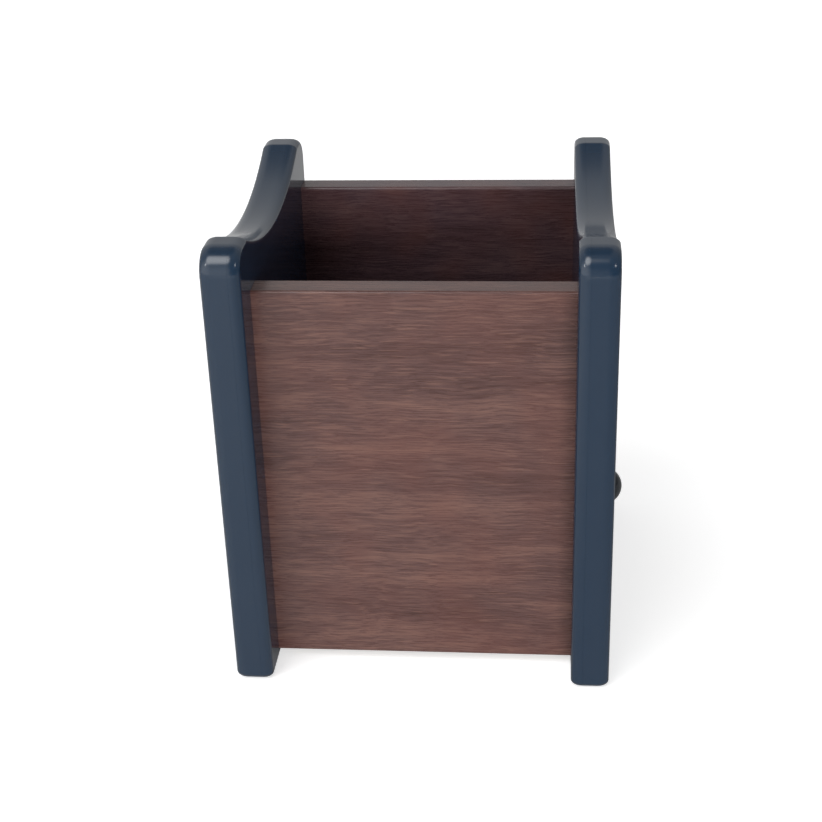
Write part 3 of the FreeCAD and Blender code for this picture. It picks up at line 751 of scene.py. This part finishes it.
@dataclass(frozen=True)
class ZincPlate(Finish):
    """Steel, cold headed and bright zinc plated.

    The eye sees a pale grey metal, a little blue, with cloudy plating and dull spots. Sizes are
    in millimetres.
    """

    dull: str = "#8f949c"
    cloud: float = 1.4
    cloud_height: float = 0.01

    def pattern(self, tree: Tree, place: Socket) -> Inputs:
        """Add cloudy plating and its faint relief.

        Args:
            tree: the material's node tree.
            place: the object coordinates, in metres.

        Returns:
            What the shader's inputs are fed with.
        """
        clouds = add_node(tree, "TexNoise", {
            "Vector": place, "Scale": per_mm(self.cloud), "Detail": 5.0, "Roughness": 0.6})
        tint = add_node(tree, "Mix", {
            "Factor": clouds, "A": linear(self.colour), "B": linear(self.dull)}, data_type="RGBA")
        shine = add_node(tree, "MapRange", {
            "Value": clouds, "From Min": 0.3, "From Max": 0.7, "To Min": self.roughness - 0.08,
            "To Max": self.roughness + 0.12})
        relief = add_node(tree, "Bump", {
            "Height": clouds, "Strength": 0.2, "Distance": self.cloud_height * MM})
        return {"Base Color": tint, "Roughness": shine, "Normal": relief}


def made(finish: Finish) -> Any:
    """A dataclass field that holds a finish's material, made along with its object."""
    return field(default_factory=finish.build)


@dataclass
class Finishes:
    """The materials of the stand, built once each.

    The rear board's film is painted darker and greyer than the front one's, as painted shade for
    the dim compartment that it faces, and the drawer front's grain runs across it.
    """

    gloss: Material = made(GlossMoulding(
        "gloss_polystyrene_moulded", "#15293d", roughness=0.12, ior=1.59))
    film: Material = made(GrainFilm("wood_grain_film_pressed", "#593f3c", roughness=0.28))
    # Painted shade: the rear board's film is darker and greyer to stand for the dim compartment it
    # faces.
    film_rear: Material = made(GrainFilm(
        "wood_grain_film_painted_shade", "#48353a", roughness=0.28, light="#614b4b",
        dark="#37282a"))
    film_across: Material = made(GrainFilm(
        "wood_grain_film_drawer_front", "#5c433e", roughness=0.28, grain=Axis.Y))
    fibreboard: Material = made(Fibreboard(
        "fibreboard_sawn", "#8a6a4c", roughness=0.85, ior=1.47))
    hardboard: Material = made(Fibreboard(
        "hardboard_dark_tempered", "#3a2822", roughness=0.6, fibre=0.5))
    satin: Material = made(SatinMoulding(
        "polypropylene_textured", "#17191c", roughness=0.42, ior=1.49))
    knob: Material = made(GlossMoulding(
        "abs_knob_moulded", "#101419", roughness=0.1, ior=1.53, rubbed="#1a1f26", wave=3.0,
        haze=5.0))
    zinc: Material = made(ZincPlate(
        "steel_zinc_plated", "#b9bec4", roughness=0.3, metallic=1.0))


# Side plates


@dataclass(frozen=True)
class PlateOutline:
    """A side plate's outline, in millimetres, as it is seen from the side.

    It has a straight foot, straight edges and round corners. Beside each top corner the top
    edge is level for a short stretch, and from there a rounded crease leads into the concave
    arc. The steps are the numbers of strips in the round stretches.
    """

    half_depth: float = 51.5
    bottom: float = 0.0
    crest: float = 122.3
    dip: float = 8.2
    flat: float = 4.6
    crease: float = 2.0
    corner: float = 6.8
    foot: float = 2.0
    corner_steps: int = 18
    crease_steps: int = 5
    sweep_steps: int = 48
    foot_steps: int = 8

    def inset(self, by: float, corner: float, foot: float) -> "PlateOutline":
        """The outline drawn in all round, with new radii for its top corners and its foot."""
        return replace(self, half_depth=self.half_depth - by, bottom=self.bottom + by,
                       crest=self.crest - by, corner=corner, foot=foot)

    def trace(self, name: str, near: float, far: float) -> Workpiece:
        """Make an open band of this outline.

        The strip of the rear edge is added as a plane, and its top edge is then spun round the
        corners and the concave top and drawn along the straights until it closes.

        Args:
            name: the piece's name.
            near: one edge of the band along X, in metres.
            far: its other edge.

        Returns:
            The band.
        """
        run = self.half_depth - self.corner
        brink = run - self.flat
        reach = (brink ** 2 + self.dip ** 2) / (2 * self.dip)
        centre = self.crest - self.dip + reach - self.crease
        fall = math.asin(brink / reach)
        shoulder = self.crest - self.corner
        toe = self.bottom + self.foot
        quarter = math.pi / 2
        middle = (near + far) / 2

        deselect_everything()
        bpy.ops.mesh.primitive_plane_add(
            size=1.0,
            location=(middle, self.half_depth * MM, (toe + shoulder) / 2 * MM),
            rotation=(quarter, 0.0, 0.0),
        )
        band = Workpiece(name)
        band.object.scale = (abs(far - near), (shoulder - toe) * MM, 1.0)
        band.settle()

        def spin(across: float, up: float, angle: float, steps: int) -> None:
            """Spin the selected edge about a line along X."""
            bpy.ops.mesh.spin(steps=steps, angle=-angle, axis=(1.0, 0.0, 0.0),
                              center=(middle, across * MM, up * MM))

        def draw(across: float, up: float) -> None:
            """Draw the selected edge along a straight."""
            bpy.ops.mesh.extrude_region_move(
                TRANSFORM_OT_translate={"value": (0.0, across * MM, up * MM)})

        with band.editing():
            band.pick(Element.EDGES, at(Axis.Z, shoulder * MM))
            spin(run, shoulder, quarter, self.corner_steps)
            draw(-self.flat, 0.0)
            spin(brink, self.crest - self.crease, fall, self.crease_steps)
            spin(0.0, centre, -2 * fall, self.sweep_steps)
            spin(-brink, self.crest - self.crease, fall, self.crease_steps)
            draw(-self.flat, 0.0)
            spin(-run, shoulder, quarter, self.corner_steps)
            draw(0.0, toe - shoulder)
            spin(self.foot - self.half_depth, toe, quarter, self.foot_steps)
            draw(2 * (self.half_depth - self.foot), 0.0)
            spin(self.half_depth - self.foot, toe, quarter, self.foot_steps)
        band.tidy()
        return band


@dataclass
class SidePlate:
    """One side of the stand: an outer shell and an inner liner, both moulded.

    Sizes are in millimetres. Places along X come from the CAD nodes' boxes. The overlap is how
    far a tool starts before the face that it cuts into or is fused on to.
    """

    side: Side
    finishes: Finishes
    outline: PlateOutline = PlateOutline()
    liner_thickness: float = 3.0
    outer_rounding: float = 1.7
    inner_rounding: float = 1.7
    outer_width: float = 3.0
    inner_width: float = 2.8
    rim_segments: int = 9
    seam_bevel: float = 0.02
    shell_wall: float = 2.2
    hollow_foot: float = 1.0
    field_inset: float = 9.0
    field_depth: float = 0.8
    field_corner: float = 3.0
    pin_radius: float = 2.0
    pin_length: float = 4.0
    pin_across: float = 42.0
    pin_heights: Pair = (62.4, 104.7)
    boss_wall: float = 1.5
    boss_end: float = 1.0
    clearance: float = 0.1
    groove_depth: float = 1.0
    ledge_thickness: float = 4.0
    ledge_width: float = 6.0
    opening_half: float = 32.0
    opening_bottom: float = 13.4
    opening_top: float = 53.4
    opening_corner: float = 1.5
    opening_lip: float = 1.6
    edge_break: float = 0.08
    overlap: float = 1.0

    @property
    def name(self) -> str:
        """The side's name in the names of its nodes."""
        return self.side.name.lower()

    @property
    def sign(self) -> int:
        """The sign of X on this side."""
        return self.side.value

    @property
    def outer(self) -> float:
        """X of the outer face."""
        low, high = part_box(self.name + "_side_shell")
        return high.x if self.side is Side.RIGHT else low.x

    @property
    def seam(self) -> float:
        """X of the plane where shell and liner meet."""
        low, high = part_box(self.name + "_side_shell")
        return low.x if self.side is Side.RIGHT else high.x

    @property
    def inside(self) -> float:
        """X of the liner's inner face."""
        return self.inwards(self.seam, self.liner_thickness)

    def inwards(self, face: float, distance: float) -> float:
        """X of a place so many millimetres from a face towards the middle of the stand."""
        return face - self.sign * distance * MM

    def pins(self, name: str, start: float, length: float, radius: float) -> Workpiece:
        """Round bars at the four places of the pins.

        Args:
            name: the piece's name.
            start: X of their first end, in metres.
            length: their length outwards in millimetres.
            radius: their radius in millimetres.

        Returns:
            The four bars in one mesh.
        """
        bars = [
            Workpiece.rod(name, Vector((start, across * MM, height * MM)), Axis.X,
                          self.sign * length * MM, radius * MM)
            for across in (-self.pin_across, self.pin_across)
            for height in self.pin_heights
        ]
        bars[0].join(bars[1:])
        return bars[0]

    def opening(self, name: str, grow: float, start: float, end: float) -> Workpiece:
        """A block as large as the drawer's opening.

        Args:
            name: the block's name.
            grow: how much larger than the opening on every side, in millimetres.
            start: X of its first end, in metres.
            end: X of its other end.

        Returns:
            The block.
        """
        half = self.opening_half + grow
        low = Vector((min(start, end), -half * MM, (self.opening_bottom - grow) * MM))
        high = Vector((max(start, end), half * MM, (self.opening_top + grow) * MM))
        return Workpiece.block(name, low, high)

    def plate(self, name: str, face: float, depth: float, width: float) -> Workpiece:
        """A closed plate from the seam to a face, with the face's rim rounded.

        Args:
            name: the piece's name.
            face: X of the face, in metres.
            depth: the rounding's size up and down and to the front and back, in millimetres.
            width: its size along X, in millimetres.

        Returns:
            The plate.
        """
        plate = self.outline.trace(name, self.seam, face)
        plate.cap(Axis.X, face)
        plate.cap(Axis.X, self.seam)
        plate.round_edges(at(Axis.X, face), depth, self.rim_segments)
        plate.edit(Element.VERTICES,
                   lambda vertex: abs(vertex.co.x - face) < depth * MM + SAME_PLACE,
                   bpy.ops.transform.resize, value=(width / depth, 1.0, 1.0),
                   center_override=(face, 0.0, 0.0))
        plate.round_edges(at(Axis.X, self.seam), self.seam_bevel, 1)
        return plate

    def shell(self) -> Workpiece:
        """Model the outer shell: rounded rim, recessed field, and hollow inside."""
        outer, seam, wall = self.outer, self.seam, self.shell_wall
        field_face = self.inwards(outer, self.field_depth)
        hollow_floor = self.inwards(field_face, wall)
        shell = self.plate(self.name + "_side_shell_moulding", outer, self.outer_rounding,
                           self.outer_width)
        shell.open_end(Axis.X, outer)
        shell.open_end(Axis.X, seam)

        recess = self.outline.inset(self.field_inset, self.field_corner, self.field_corner)
        cavity = self.outline.inset(wall, self.outline.corner - wall, self.hollow_foot)
        pockets = [recess.trace("field", outer, field_face),
                   cavity.trace("hollow", seam, hollow_floor)]
        for pocket, floor in zip(pockets, (field_face, hollow_floor)):
            pocket.cap(Axis.X, floor)
            pocket.turn_inside_out()
        shell.join(pockets)
        shell.bridge(Axis.X, outer)
        shell.bridge(Axis.X, seam)
        shell.tidy()

        socket_radius = self.pin_radius + self.clearance
        shell.fuse(self.pins("bosses", seam, self.pin_length + self.boss_end,
                             socket_radius + self.boss_wall))
        shell.cut(self.pins("sockets", self.inwards(seam, self.overlap),
                            self.pin_length + self.overlap, socket_radius))
        if self.side is Side.RIGHT:
            shell.fuse(self.opening("opening_wall", wall, hollow_floor, seam))
            mouth = self.opening("opening", 0.0, self.inwards(seam, self.overlap),
                                 self.inwards(outer, -self.overlap))
            mouth.round_edges(parallel_to(Axis.X), self.opening_corner, 4)
            shell.cut(mouth)
        return shell

    def liner(self) -> Workpiece:
        """Model the inner liner: rounded rim, grooves, ledges, pins and drawer opening."""
        seam, inside = self.seam, self.inside
        liner = self.plate(self.name + "_side_liner_moulding", inside, self.inner_rounding,
                           self.inner_width)
        liner.tidy()

        gap = mm(0.0, self.clearance, self.clearance)
        for board in ("front_panel", "rear_panel"):
            low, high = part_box(board)
            low, high = low - gap, high + gap
            low.x, high.x = sorted((self.inwards(inside, self.overlap),
                                    self.inwards(inside, -self.groove_depth)))
            liner.cut(Workpiece.block("groove", low, high))
        for board in ("base_board", "compartment_floor"):
            low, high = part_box(board)
            low.x, high.x = sorted((self.inwards(inside, -self.overlap),
                                    self.inwards(inside, self.ledge_width)))
            low.z, high.z = low.z - self.ledge_thickness * MM, low.z
            liner.fuse(Workpiece.block("ledge", low, high))
        liner.fuse(self.pins("pins", self.inwards(seam, self.overlap),
                             self.pin_length - self.clearance + self.overlap, self.pin_radius))
        if self.side is Side.RIGHT:
            liner.cut(self.opening("opening", -self.opening_lip,
                                   self.inwards(inside, self.overlap),
                                   self.inwards(seam, -self.overlap)))
        return liner

    def build(self) -> None:
        """Model and dress both mouldings of the plate."""
        for ending, model in (("_side_shell", self.shell), ("_side_liner", self.liner)):
            moulding = model()
            moulding.soften(self.edge_break)
            moulding.smooth()
            moulding.finish("stand", self.name + ending, "gloss_black_plastic",
                            self.finishes.gloss)


# Boards


@dataclass
class Boards:
    """The upright boards in their grooves, and the two level boards on their ledges."""

    finishes: Finishes
    edge_rounding: float = 0.9

    def upright(self, node: str, film: Material) -> None:
        """Model a film-covered board, bare underneath and at its ends.

        Args:
            node: the CAD node that the board stands for.
            film: the film's material.
        """
        low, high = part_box(node)
        board = Workpiece.block(node + "_board", low, high)
        board.round_edges(parallel_to(Axis.X), self.edge_rounding, 6)
        board.smooth()
        board.finish("stand", node, "wood_grain_board", film)
        board.paint(self.finishes.fibreboard,
                    lambda face: face.normal.z < -FACING or abs(face.normal.x) > FACING)

    def build(self) -> None:
        """Make all four boards."""
        self.upright("front_panel", self.finishes.film)
        self.upright("rear_panel", self.finishes.film_rear)
        dress("compartment_floor", self.finishes.hardboard)
        dress("base_board", self.finishes.hardboard)


# Drawer


@dataclass
class Drawer:
    """The drawer: a moulded tray, a film-covered front and a round knob.

    Sizes are in millimetres. The dome's last ring leaves a small flat in its middle, given as a
    share of the rings' spacing.
    """

    finishes: Finishes
    tray_wall: float = 2.0
    tray_floor: float = 1.8
    tray_corner: float = 3.0
    floor_corner: float = 0.9
    tray_break: float = 0.25
    wall_half: float = 30.0
    front_corner: float = 1.1
    edge_rounding: float = 0.4
    lug_height: float = 8.0
    lug_bottom: float = 23.9
    lug_length: float = 4.0
    lug_front: float = -18.2
    lug_root: float = 1.0
    knob_length: float = 5.2
    neck_radius: float = 2.6
    neck_length: float = 1.0
    knob_flare: float = 0.8
    head_radius: float = 4.2
    dome_height: float = 2.0
    dome_rings: int = 6
    dome_flat: float = 0.3
    knob_rounding: float = 0.5
    knob_smoothing: float = 30.0

    def tray(self) -> None:
        """Model the tray: walls, floor and the two stop lugs."""
        low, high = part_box("drawer_tray")
        half = self.wall_half * MM
        tray = Workpiece.block("drawer_tray_moulding", Vector((low.x, -half, low.z)),
                               Vector((high.x, half, high.z)))
        tray.round_edges(parallel_to(Axis.Z), self.tray_corner, 6)
        with tray.editing():
            tray.pick(Element.FACES, at(Axis.Z, high.z))
            bpy.ops.mesh.inset(thickness=self.tray_wall * MM)
            depth = high.z - low.z - self.tray_floor * MM
            bpy.ops.mesh.extrude_region_move(
                TRANSFORM_OT_translate={"value": (0.0, 0.0, -depth)})
        floor = low.z + self.tray_floor * MM
        tray.round_edges(at(Axis.Z, floor), self.floor_corner, 4)
        for sign in (-1, 1):
            lug_low = mm(self.lug_front - self.lug_length, 0.0, self.lug_bottom)
            lug_high = mm(self.lug_front, 0.0, self.lug_bottom + self.lug_height)
            lug_low.y, lug_high.y = sorted(
                (sign * (self.wall_half - self.lug_root) * MM, sign * high.y))
            tray.fuse(Workpiece.block("lug", lug_low, lug_high))
        tray.soften(self.tray_break)
        tray.smooth()
        tray.finish("drawer", "drawer_tray", "matte_black_plastic", self.finishes.satin)

    def front(self) -> None:
        """Model the drawer front."""
        low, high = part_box("drawer_front")
        front = Workpiece.block("drawer_front_board", low, high)
        front.round_edges(parallel_to(Axis.X), self.front_corner, 5)
        front.round_edges(at(Axis.X, high.x), self.edge_rounding, 3)
        front.smooth()
        front.finish("drawer", "drawer_front", "wood_grain_board", self.finishes.film_across)

    def knob(self) -> None:
        """Model the knob ring by ring from its foot to the middle of its dome."""
        low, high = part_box("drawer_knob")
        centre = (low + high) / 2
        head, dome = self.head_radius, self.dome_height
        flare_end = self.neck_length + self.knob_flare
        dome_start = self.knob_length - dome
        sphere = (head ** 2 + dome ** 2) / (2 * dome)
        stations = [(self.neck_length, self.neck_radius), (flare_end, head), (dome_start, head)]
        for step in range(1, self.dome_rings + 1):
            radius = head * (1 - step / (self.dome_rings + self.dome_flat))
            rise = math.sqrt(sphere ** 2 - radius ** 2)
            stations.append((self.knob_length - sphere + rise, radius))

        deselect_everything()
        bpy.ops.mesh.primitive_circle_add(
            vertices=48, radius=self.neck_radius * MM, fill_type="NGON",
            location=(low.x, centre.y, centre.z), rotation=(0.0, math.pi / 2, 0.0))
        knob = Workpiece("drawer_knob_turned").settle()
        along, radius = 0.0, self.neck_radius
        with knob.editing():
            bpy.ops.mesh.select_all(action="SELECT")
            for place, size in stations:
                bpy.ops.mesh.extrude_region_move(
                    TRANSFORM_OT_translate={"value": ((place - along) * MM, 0.0, 0.0)})
                scale = size / radius
                bpy.ops.transform.resize(
                    value=(1.0, scale, scale),
                    center_override=(low.x + place * MM, centre.y, centre.z))
                along, radius = place, size
        knob.tidy()
        flare_turn = math.atan2(head - self.neck_radius, self.knob_flare)
        dome_turn = math.pi / 2 - math.asin(head / sphere)
        for place, turn in ((flare_end, flare_turn), (dome_start, dome_turn)):
            setback = self.knob_rounding * math.tan(turn / 2)
            knob.round_edges(at(Axis.X, low.x + place * MM), setback, 4)
        knob.smooth(self.knob_smoothing)
        knob.finish("drawer", "drawer_knob", "knob_plastic", self.finishes.knob)

    def build(self) -> None:
        """Model the drawer's pieces and dress its screws."""
        self.tray()
        self.front()
        self.knob()
        dress("drawer_front_screws", self.finishes.zinc)
        dress("knob_screw", self.finishes.zinc)


# Studio


@dataclass(frozen=True)
class Softbox:
    """A square lamp that looks at the object.

    Places are in metres, the power in watts. A lamp that isn't mirrored only gives light.
    """

    name: str
    place: Triple
    size: float
    power: float
    mirrored: bool = True

    def build(self, target: Vector) -> None:
        """Hang the lamp and turn it to its target.

        Args:
            target: the place that it looks at, in metres.
        """
        lamp = bpy.data.lights.new(self.name, "AREA")
        lamp.shape = "SQUARE"
        lamp.size = self.size
        lamp.energy = self.power
        holder = bpy.data.objects.new(self.name, lamp)
        holder.location = self.place
        aim = target - Vector(self.place)
        holder.rotation_euler = aim.to_track_quat("-Z", "Y").to_euler()
        holder.visible_glossy = self.mirrored
        bpy.context.scene.collection.objects.link(holder)


@dataclass(frozen=True)
class SkyLight:
    """A soft-edged light in the room's walls or ceiling, far away.

    The core and the edge are the angles from its middle, in degrees, where it starts to fade
    and where it ends. A strength below zero makes a dark panel.
    """

    direction: Triple
    strength: float
    core: float
    edge: float

    def add_to(self, tree: Tree, direction: Socket, room: Node) -> Node:
        """Add the light to the room's strength.

        Args:
            tree: the world's node tree.
            direction: the direction that is looked in.
            room: the strength without this light.

        Returns:
            The strength with it.
        """
        towards = add_node(tree, "VectorMath", {
            0: direction, 1: Vector(self.direction).normalized()}, operation="DOT_PRODUCT")
        fading = add_node(tree, "MapRange", {
            "Value": towards, "From Min": math.cos(math.radians(self.edge)),
            "From Max": math.cos(math.radians(self.core)), "To Min": 0.0, "To Max": self.strength},
            interpolation_type="SMOOTHSTEP")
        total = add_node(tree, "Math", {0: room, 1: fading}, operation="ADD")
        return total


@dataclass(frozen=True)
class Viewpoint:
    """The photograph's camera: its place in millimetres and its turns in radians."""

    place: Triple = (30.97, -383.21, 243.68)
    yaw: float = -0.10015
    pitch: float = 0.45275
    roll: float = -0.03313
    focal_pixels: float = 1515.79
    frame_pixels: float = 822.0
    sensor: float = 36.0
    nearest: float = 10.0

    def build(self) -> None:
        """Set up the camera and make it the scene's own."""
        forward = Vector((math.sin(self.yaw) * math.cos(self.pitch),
                          math.cos(self.yaw) * math.cos(self.pitch),
                          -math.sin(self.pitch)))
        level = Vector((math.cos(self.yaw), -math.sin(self.yaw), 0.0))
        up = level.cross(forward)
        right = math.cos(self.roll) * level + math.sin(self.roll) * up
        up = right.cross(forward)
        turn = Matrix((right, up, -forward)).transposed()
        data = bpy.data.cameras.new("photo_camera")
        data.sensor_width = self.sensor
        data.lens = self.sensor * self.focal_pixels / self.frame_pixels
        data.clip_start = self.nearest * MM
        camera = bpy.data.objects.new("photo_camera", data)
        camera.matrix_world = Matrix.Translation(mm(*self.place)) @ turn.to_4x4()
        bpy.context.scene.collection.objects.link(camera)
        bpy.context.scene.camera = camera


@dataclass
class Studio:
    """A plain pale floor, soft light and the camera.

    The floor's sizes are in metres. The room's brightness is the product of its walls' values,
    left to right and front to rear, and of its height's, horizon to zenith.
    """

    floor_radius: float = 3.0
    floor_colour: str = "#e6e6e6"
    # Painted reflection shade: the paper's colour as the plates mirror it, darker to the right.
    floor_painted_reflection_shade: str = "#a8a8a8"
    shade_start: float = -0.12
    shade_end: float = 0.12
    floor_glow: float = 0.6
    mirrored_glow: float = 0.08
    horizon: float = 0.33
    zenith: float = 0.44
    backdrop_top: float = 0.05
    ceiling: float = 0.9
    left_wall: float = 1.35
    right_wall: float = 0.7
    front_wall: float = 0.3
    rear_wall: float = 1.5
    white: tuple[float, float, float, float] = (1.0, 1.0, 1.0, 1.0)
    sky_lights: tuple[SkyLight, ...] = (
        SkyLight((-0.3, -0.45, 0.85), strength=4.2, core=5.0, edge=22.0),
        SkyLight((-0.9, -1.0, 0.1), strength=1.2, core=0.0, edge=55.0),
        SkyLight((-0.1, 0.32, 0.94), strength=-0.32, core=10.0, edge=30.0),
    )
    lamps: tuple[Softbox, ...] = (
        Softbox("front_fill", (0.35, -1.5, 0.16), size=0.6, power=15.5, mirrored=False),
        Softbox("left_spot", (-1.0, -0.9, 1.0), size=0.22, power=1.0),
        Softbox("right_spot", (1.0, -0.9, 1.0), size=0.22, power=1.0),
    )

    def paper(self) -> Material:
        """Make the floor's paper.

        It glows to the camera, which sees it white, and still takes the object's shadow. In the
        plates' gloss its colour is painted darker to the right, a painted reflection shade for the
        dimmer right side of the room.
        """
        material = bpy.data.materials.new("studio_paper")
        tree = new_tree(material)
        path = add_node(tree, "LightPath")
        bounced = add_node(tree, "Math", {
            0: path.outputs["Is Glossy Ray"], 1: path.outputs["Is Transmission Ray"]},
            operation="MAXIMUM")
        place = add_node(tree, "TexCoord").outputs["Object"]
        axes = add_node(tree, "SeparateXYZ", {"Vector": place})
        # Painted reflection shade: in glossy rays the paper's colour darkens from left to right,
        # standing in for the dimmer right of the room.
        dimmer = add_node(tree, "MapRange", {
            "Value": axes.outputs["X"], "From Min": self.shade_start, "From Max": self.shade_end,
            "To Min": 0.0, "To Max": 1.0})
        shaded = add_node(tree, "Math", {0: dimmer, 1: bounced}, operation="MULTIPLY")
        tone = add_node(tree, "Mix", {
            "Factor": shaded, "A": linear(self.floor_colour), "B": linear(self.floor_painted_reflection_shade)},
            data_type="RGBA")
        matt = add_node(tree, "BsdfDiffuse", {"Color": tone})
        faint = add_node(tree, "Math", {0: bounced, 1: self.mirrored_glow}, operation="MULTIPLY")
        strength = add_node(tree, "Math", {
            0: path.outputs["Is Camera Ray"], 1: self.floor_glow, 2: faint},
            operation="MULTIPLY_ADD")
        glow = add_node(tree, "Emission", {"Color": self.white, "Strength": strength})
        both = add_node(tree, "AddShader", {0: matt, 1: glow})
        add_node(tree, "OutputMaterial", {"Surface": both})
        return material

    def floor(self) -> None:
        """Lay the floor."""
        deselect_everything()
        bpy.ops.mesh.primitive_circle_add(vertices=96, radius=self.floor_radius,
                                          fill_type="NGON", location=(0.0, 0.0, 0.0))
        ground = bpy.context.object
        ground.name = "floor"
        ground.data.materials.append(self.paper())

    def sky(self) -> None:
        """Put up the room: pale walls and ceiling with soft lights and a dark panel in them.

        The camera sees it white.
        """
        world = bpy.data.worlds.new("studio_sky")
        tree = new_tree(world)
        direction = add_node(tree, "TexCoord").outputs["Generated"]
        axes = add_node(tree, "SeparateXYZ", {"Vector": direction})
        room: Any = 1.0
        for axis, start, end, low, high, fading in (
                ("X", -1.0, 1.0, self.left_wall, self.right_wall, "LINEAR"),
                ("Y", -1.0, 1.0, self.front_wall, self.rear_wall, "LINEAR"),
                ("Z", self.backdrop_top, self.ceiling, self.horizon, self.zenith, "SMOOTHSTEP")):
            level = add_node(tree, "MapRange", {
                "Value": axes.outputs[axis], "From Min": start, "From Max": end, "To Min": low,
                "To Max": high}, interpolation_type=fading)
            room = add_node(tree, "Math", {0: room, 1: level}, operation="MULTIPLY")
        for sky_light in self.sky_lights:
            room = sky_light.add_to(tree, direction, room)
        path = add_node(tree, "LightPath")
        strength = add_node(tree, "Math", {
            0: room, 1: path.outputs["Is Camera Ray"]}, operation="MAXIMUM")
        light = add_node(tree, "Background", {"Color": self.white, "Strength": strength})
        add_node(tree, "OutputWorld", {"Surface": light})
        bpy.context.scene.world = world

    def build(self) -> None:
        """Set up camera, floor, sky and lamps."""
        Viewpoint().build()
        self.floor()
        self.sky()
        middle = (cad_box[0] + cad_box[1]) / 2
        for lamp in self.lamps:
            lamp.build(middle)
        bpy.context.scene.view_settings.view_transform = "Standard"


def main() -> None:
    """Build the studio and every part of the stand."""
    logging.basicConfig(level=logging.INFO, format="%(name)s %(message)s")
    Studio().build()
    finishes = Finishes()
    for side in Side:
        SidePlate(side, finishes).build()
    Boards(finishes).build()
    Drawer(finishes).build()
    for node in ("front_runner", "rear_runner"):
        dress(node, finishes.satin)
    for node in ("left_panel_screws", "right_panel_screws", "floor_screws", "base_screws",
                 "runner_screws"):
        dress(node, finishes.zinc)


if __name__ == "__main__":
    main()
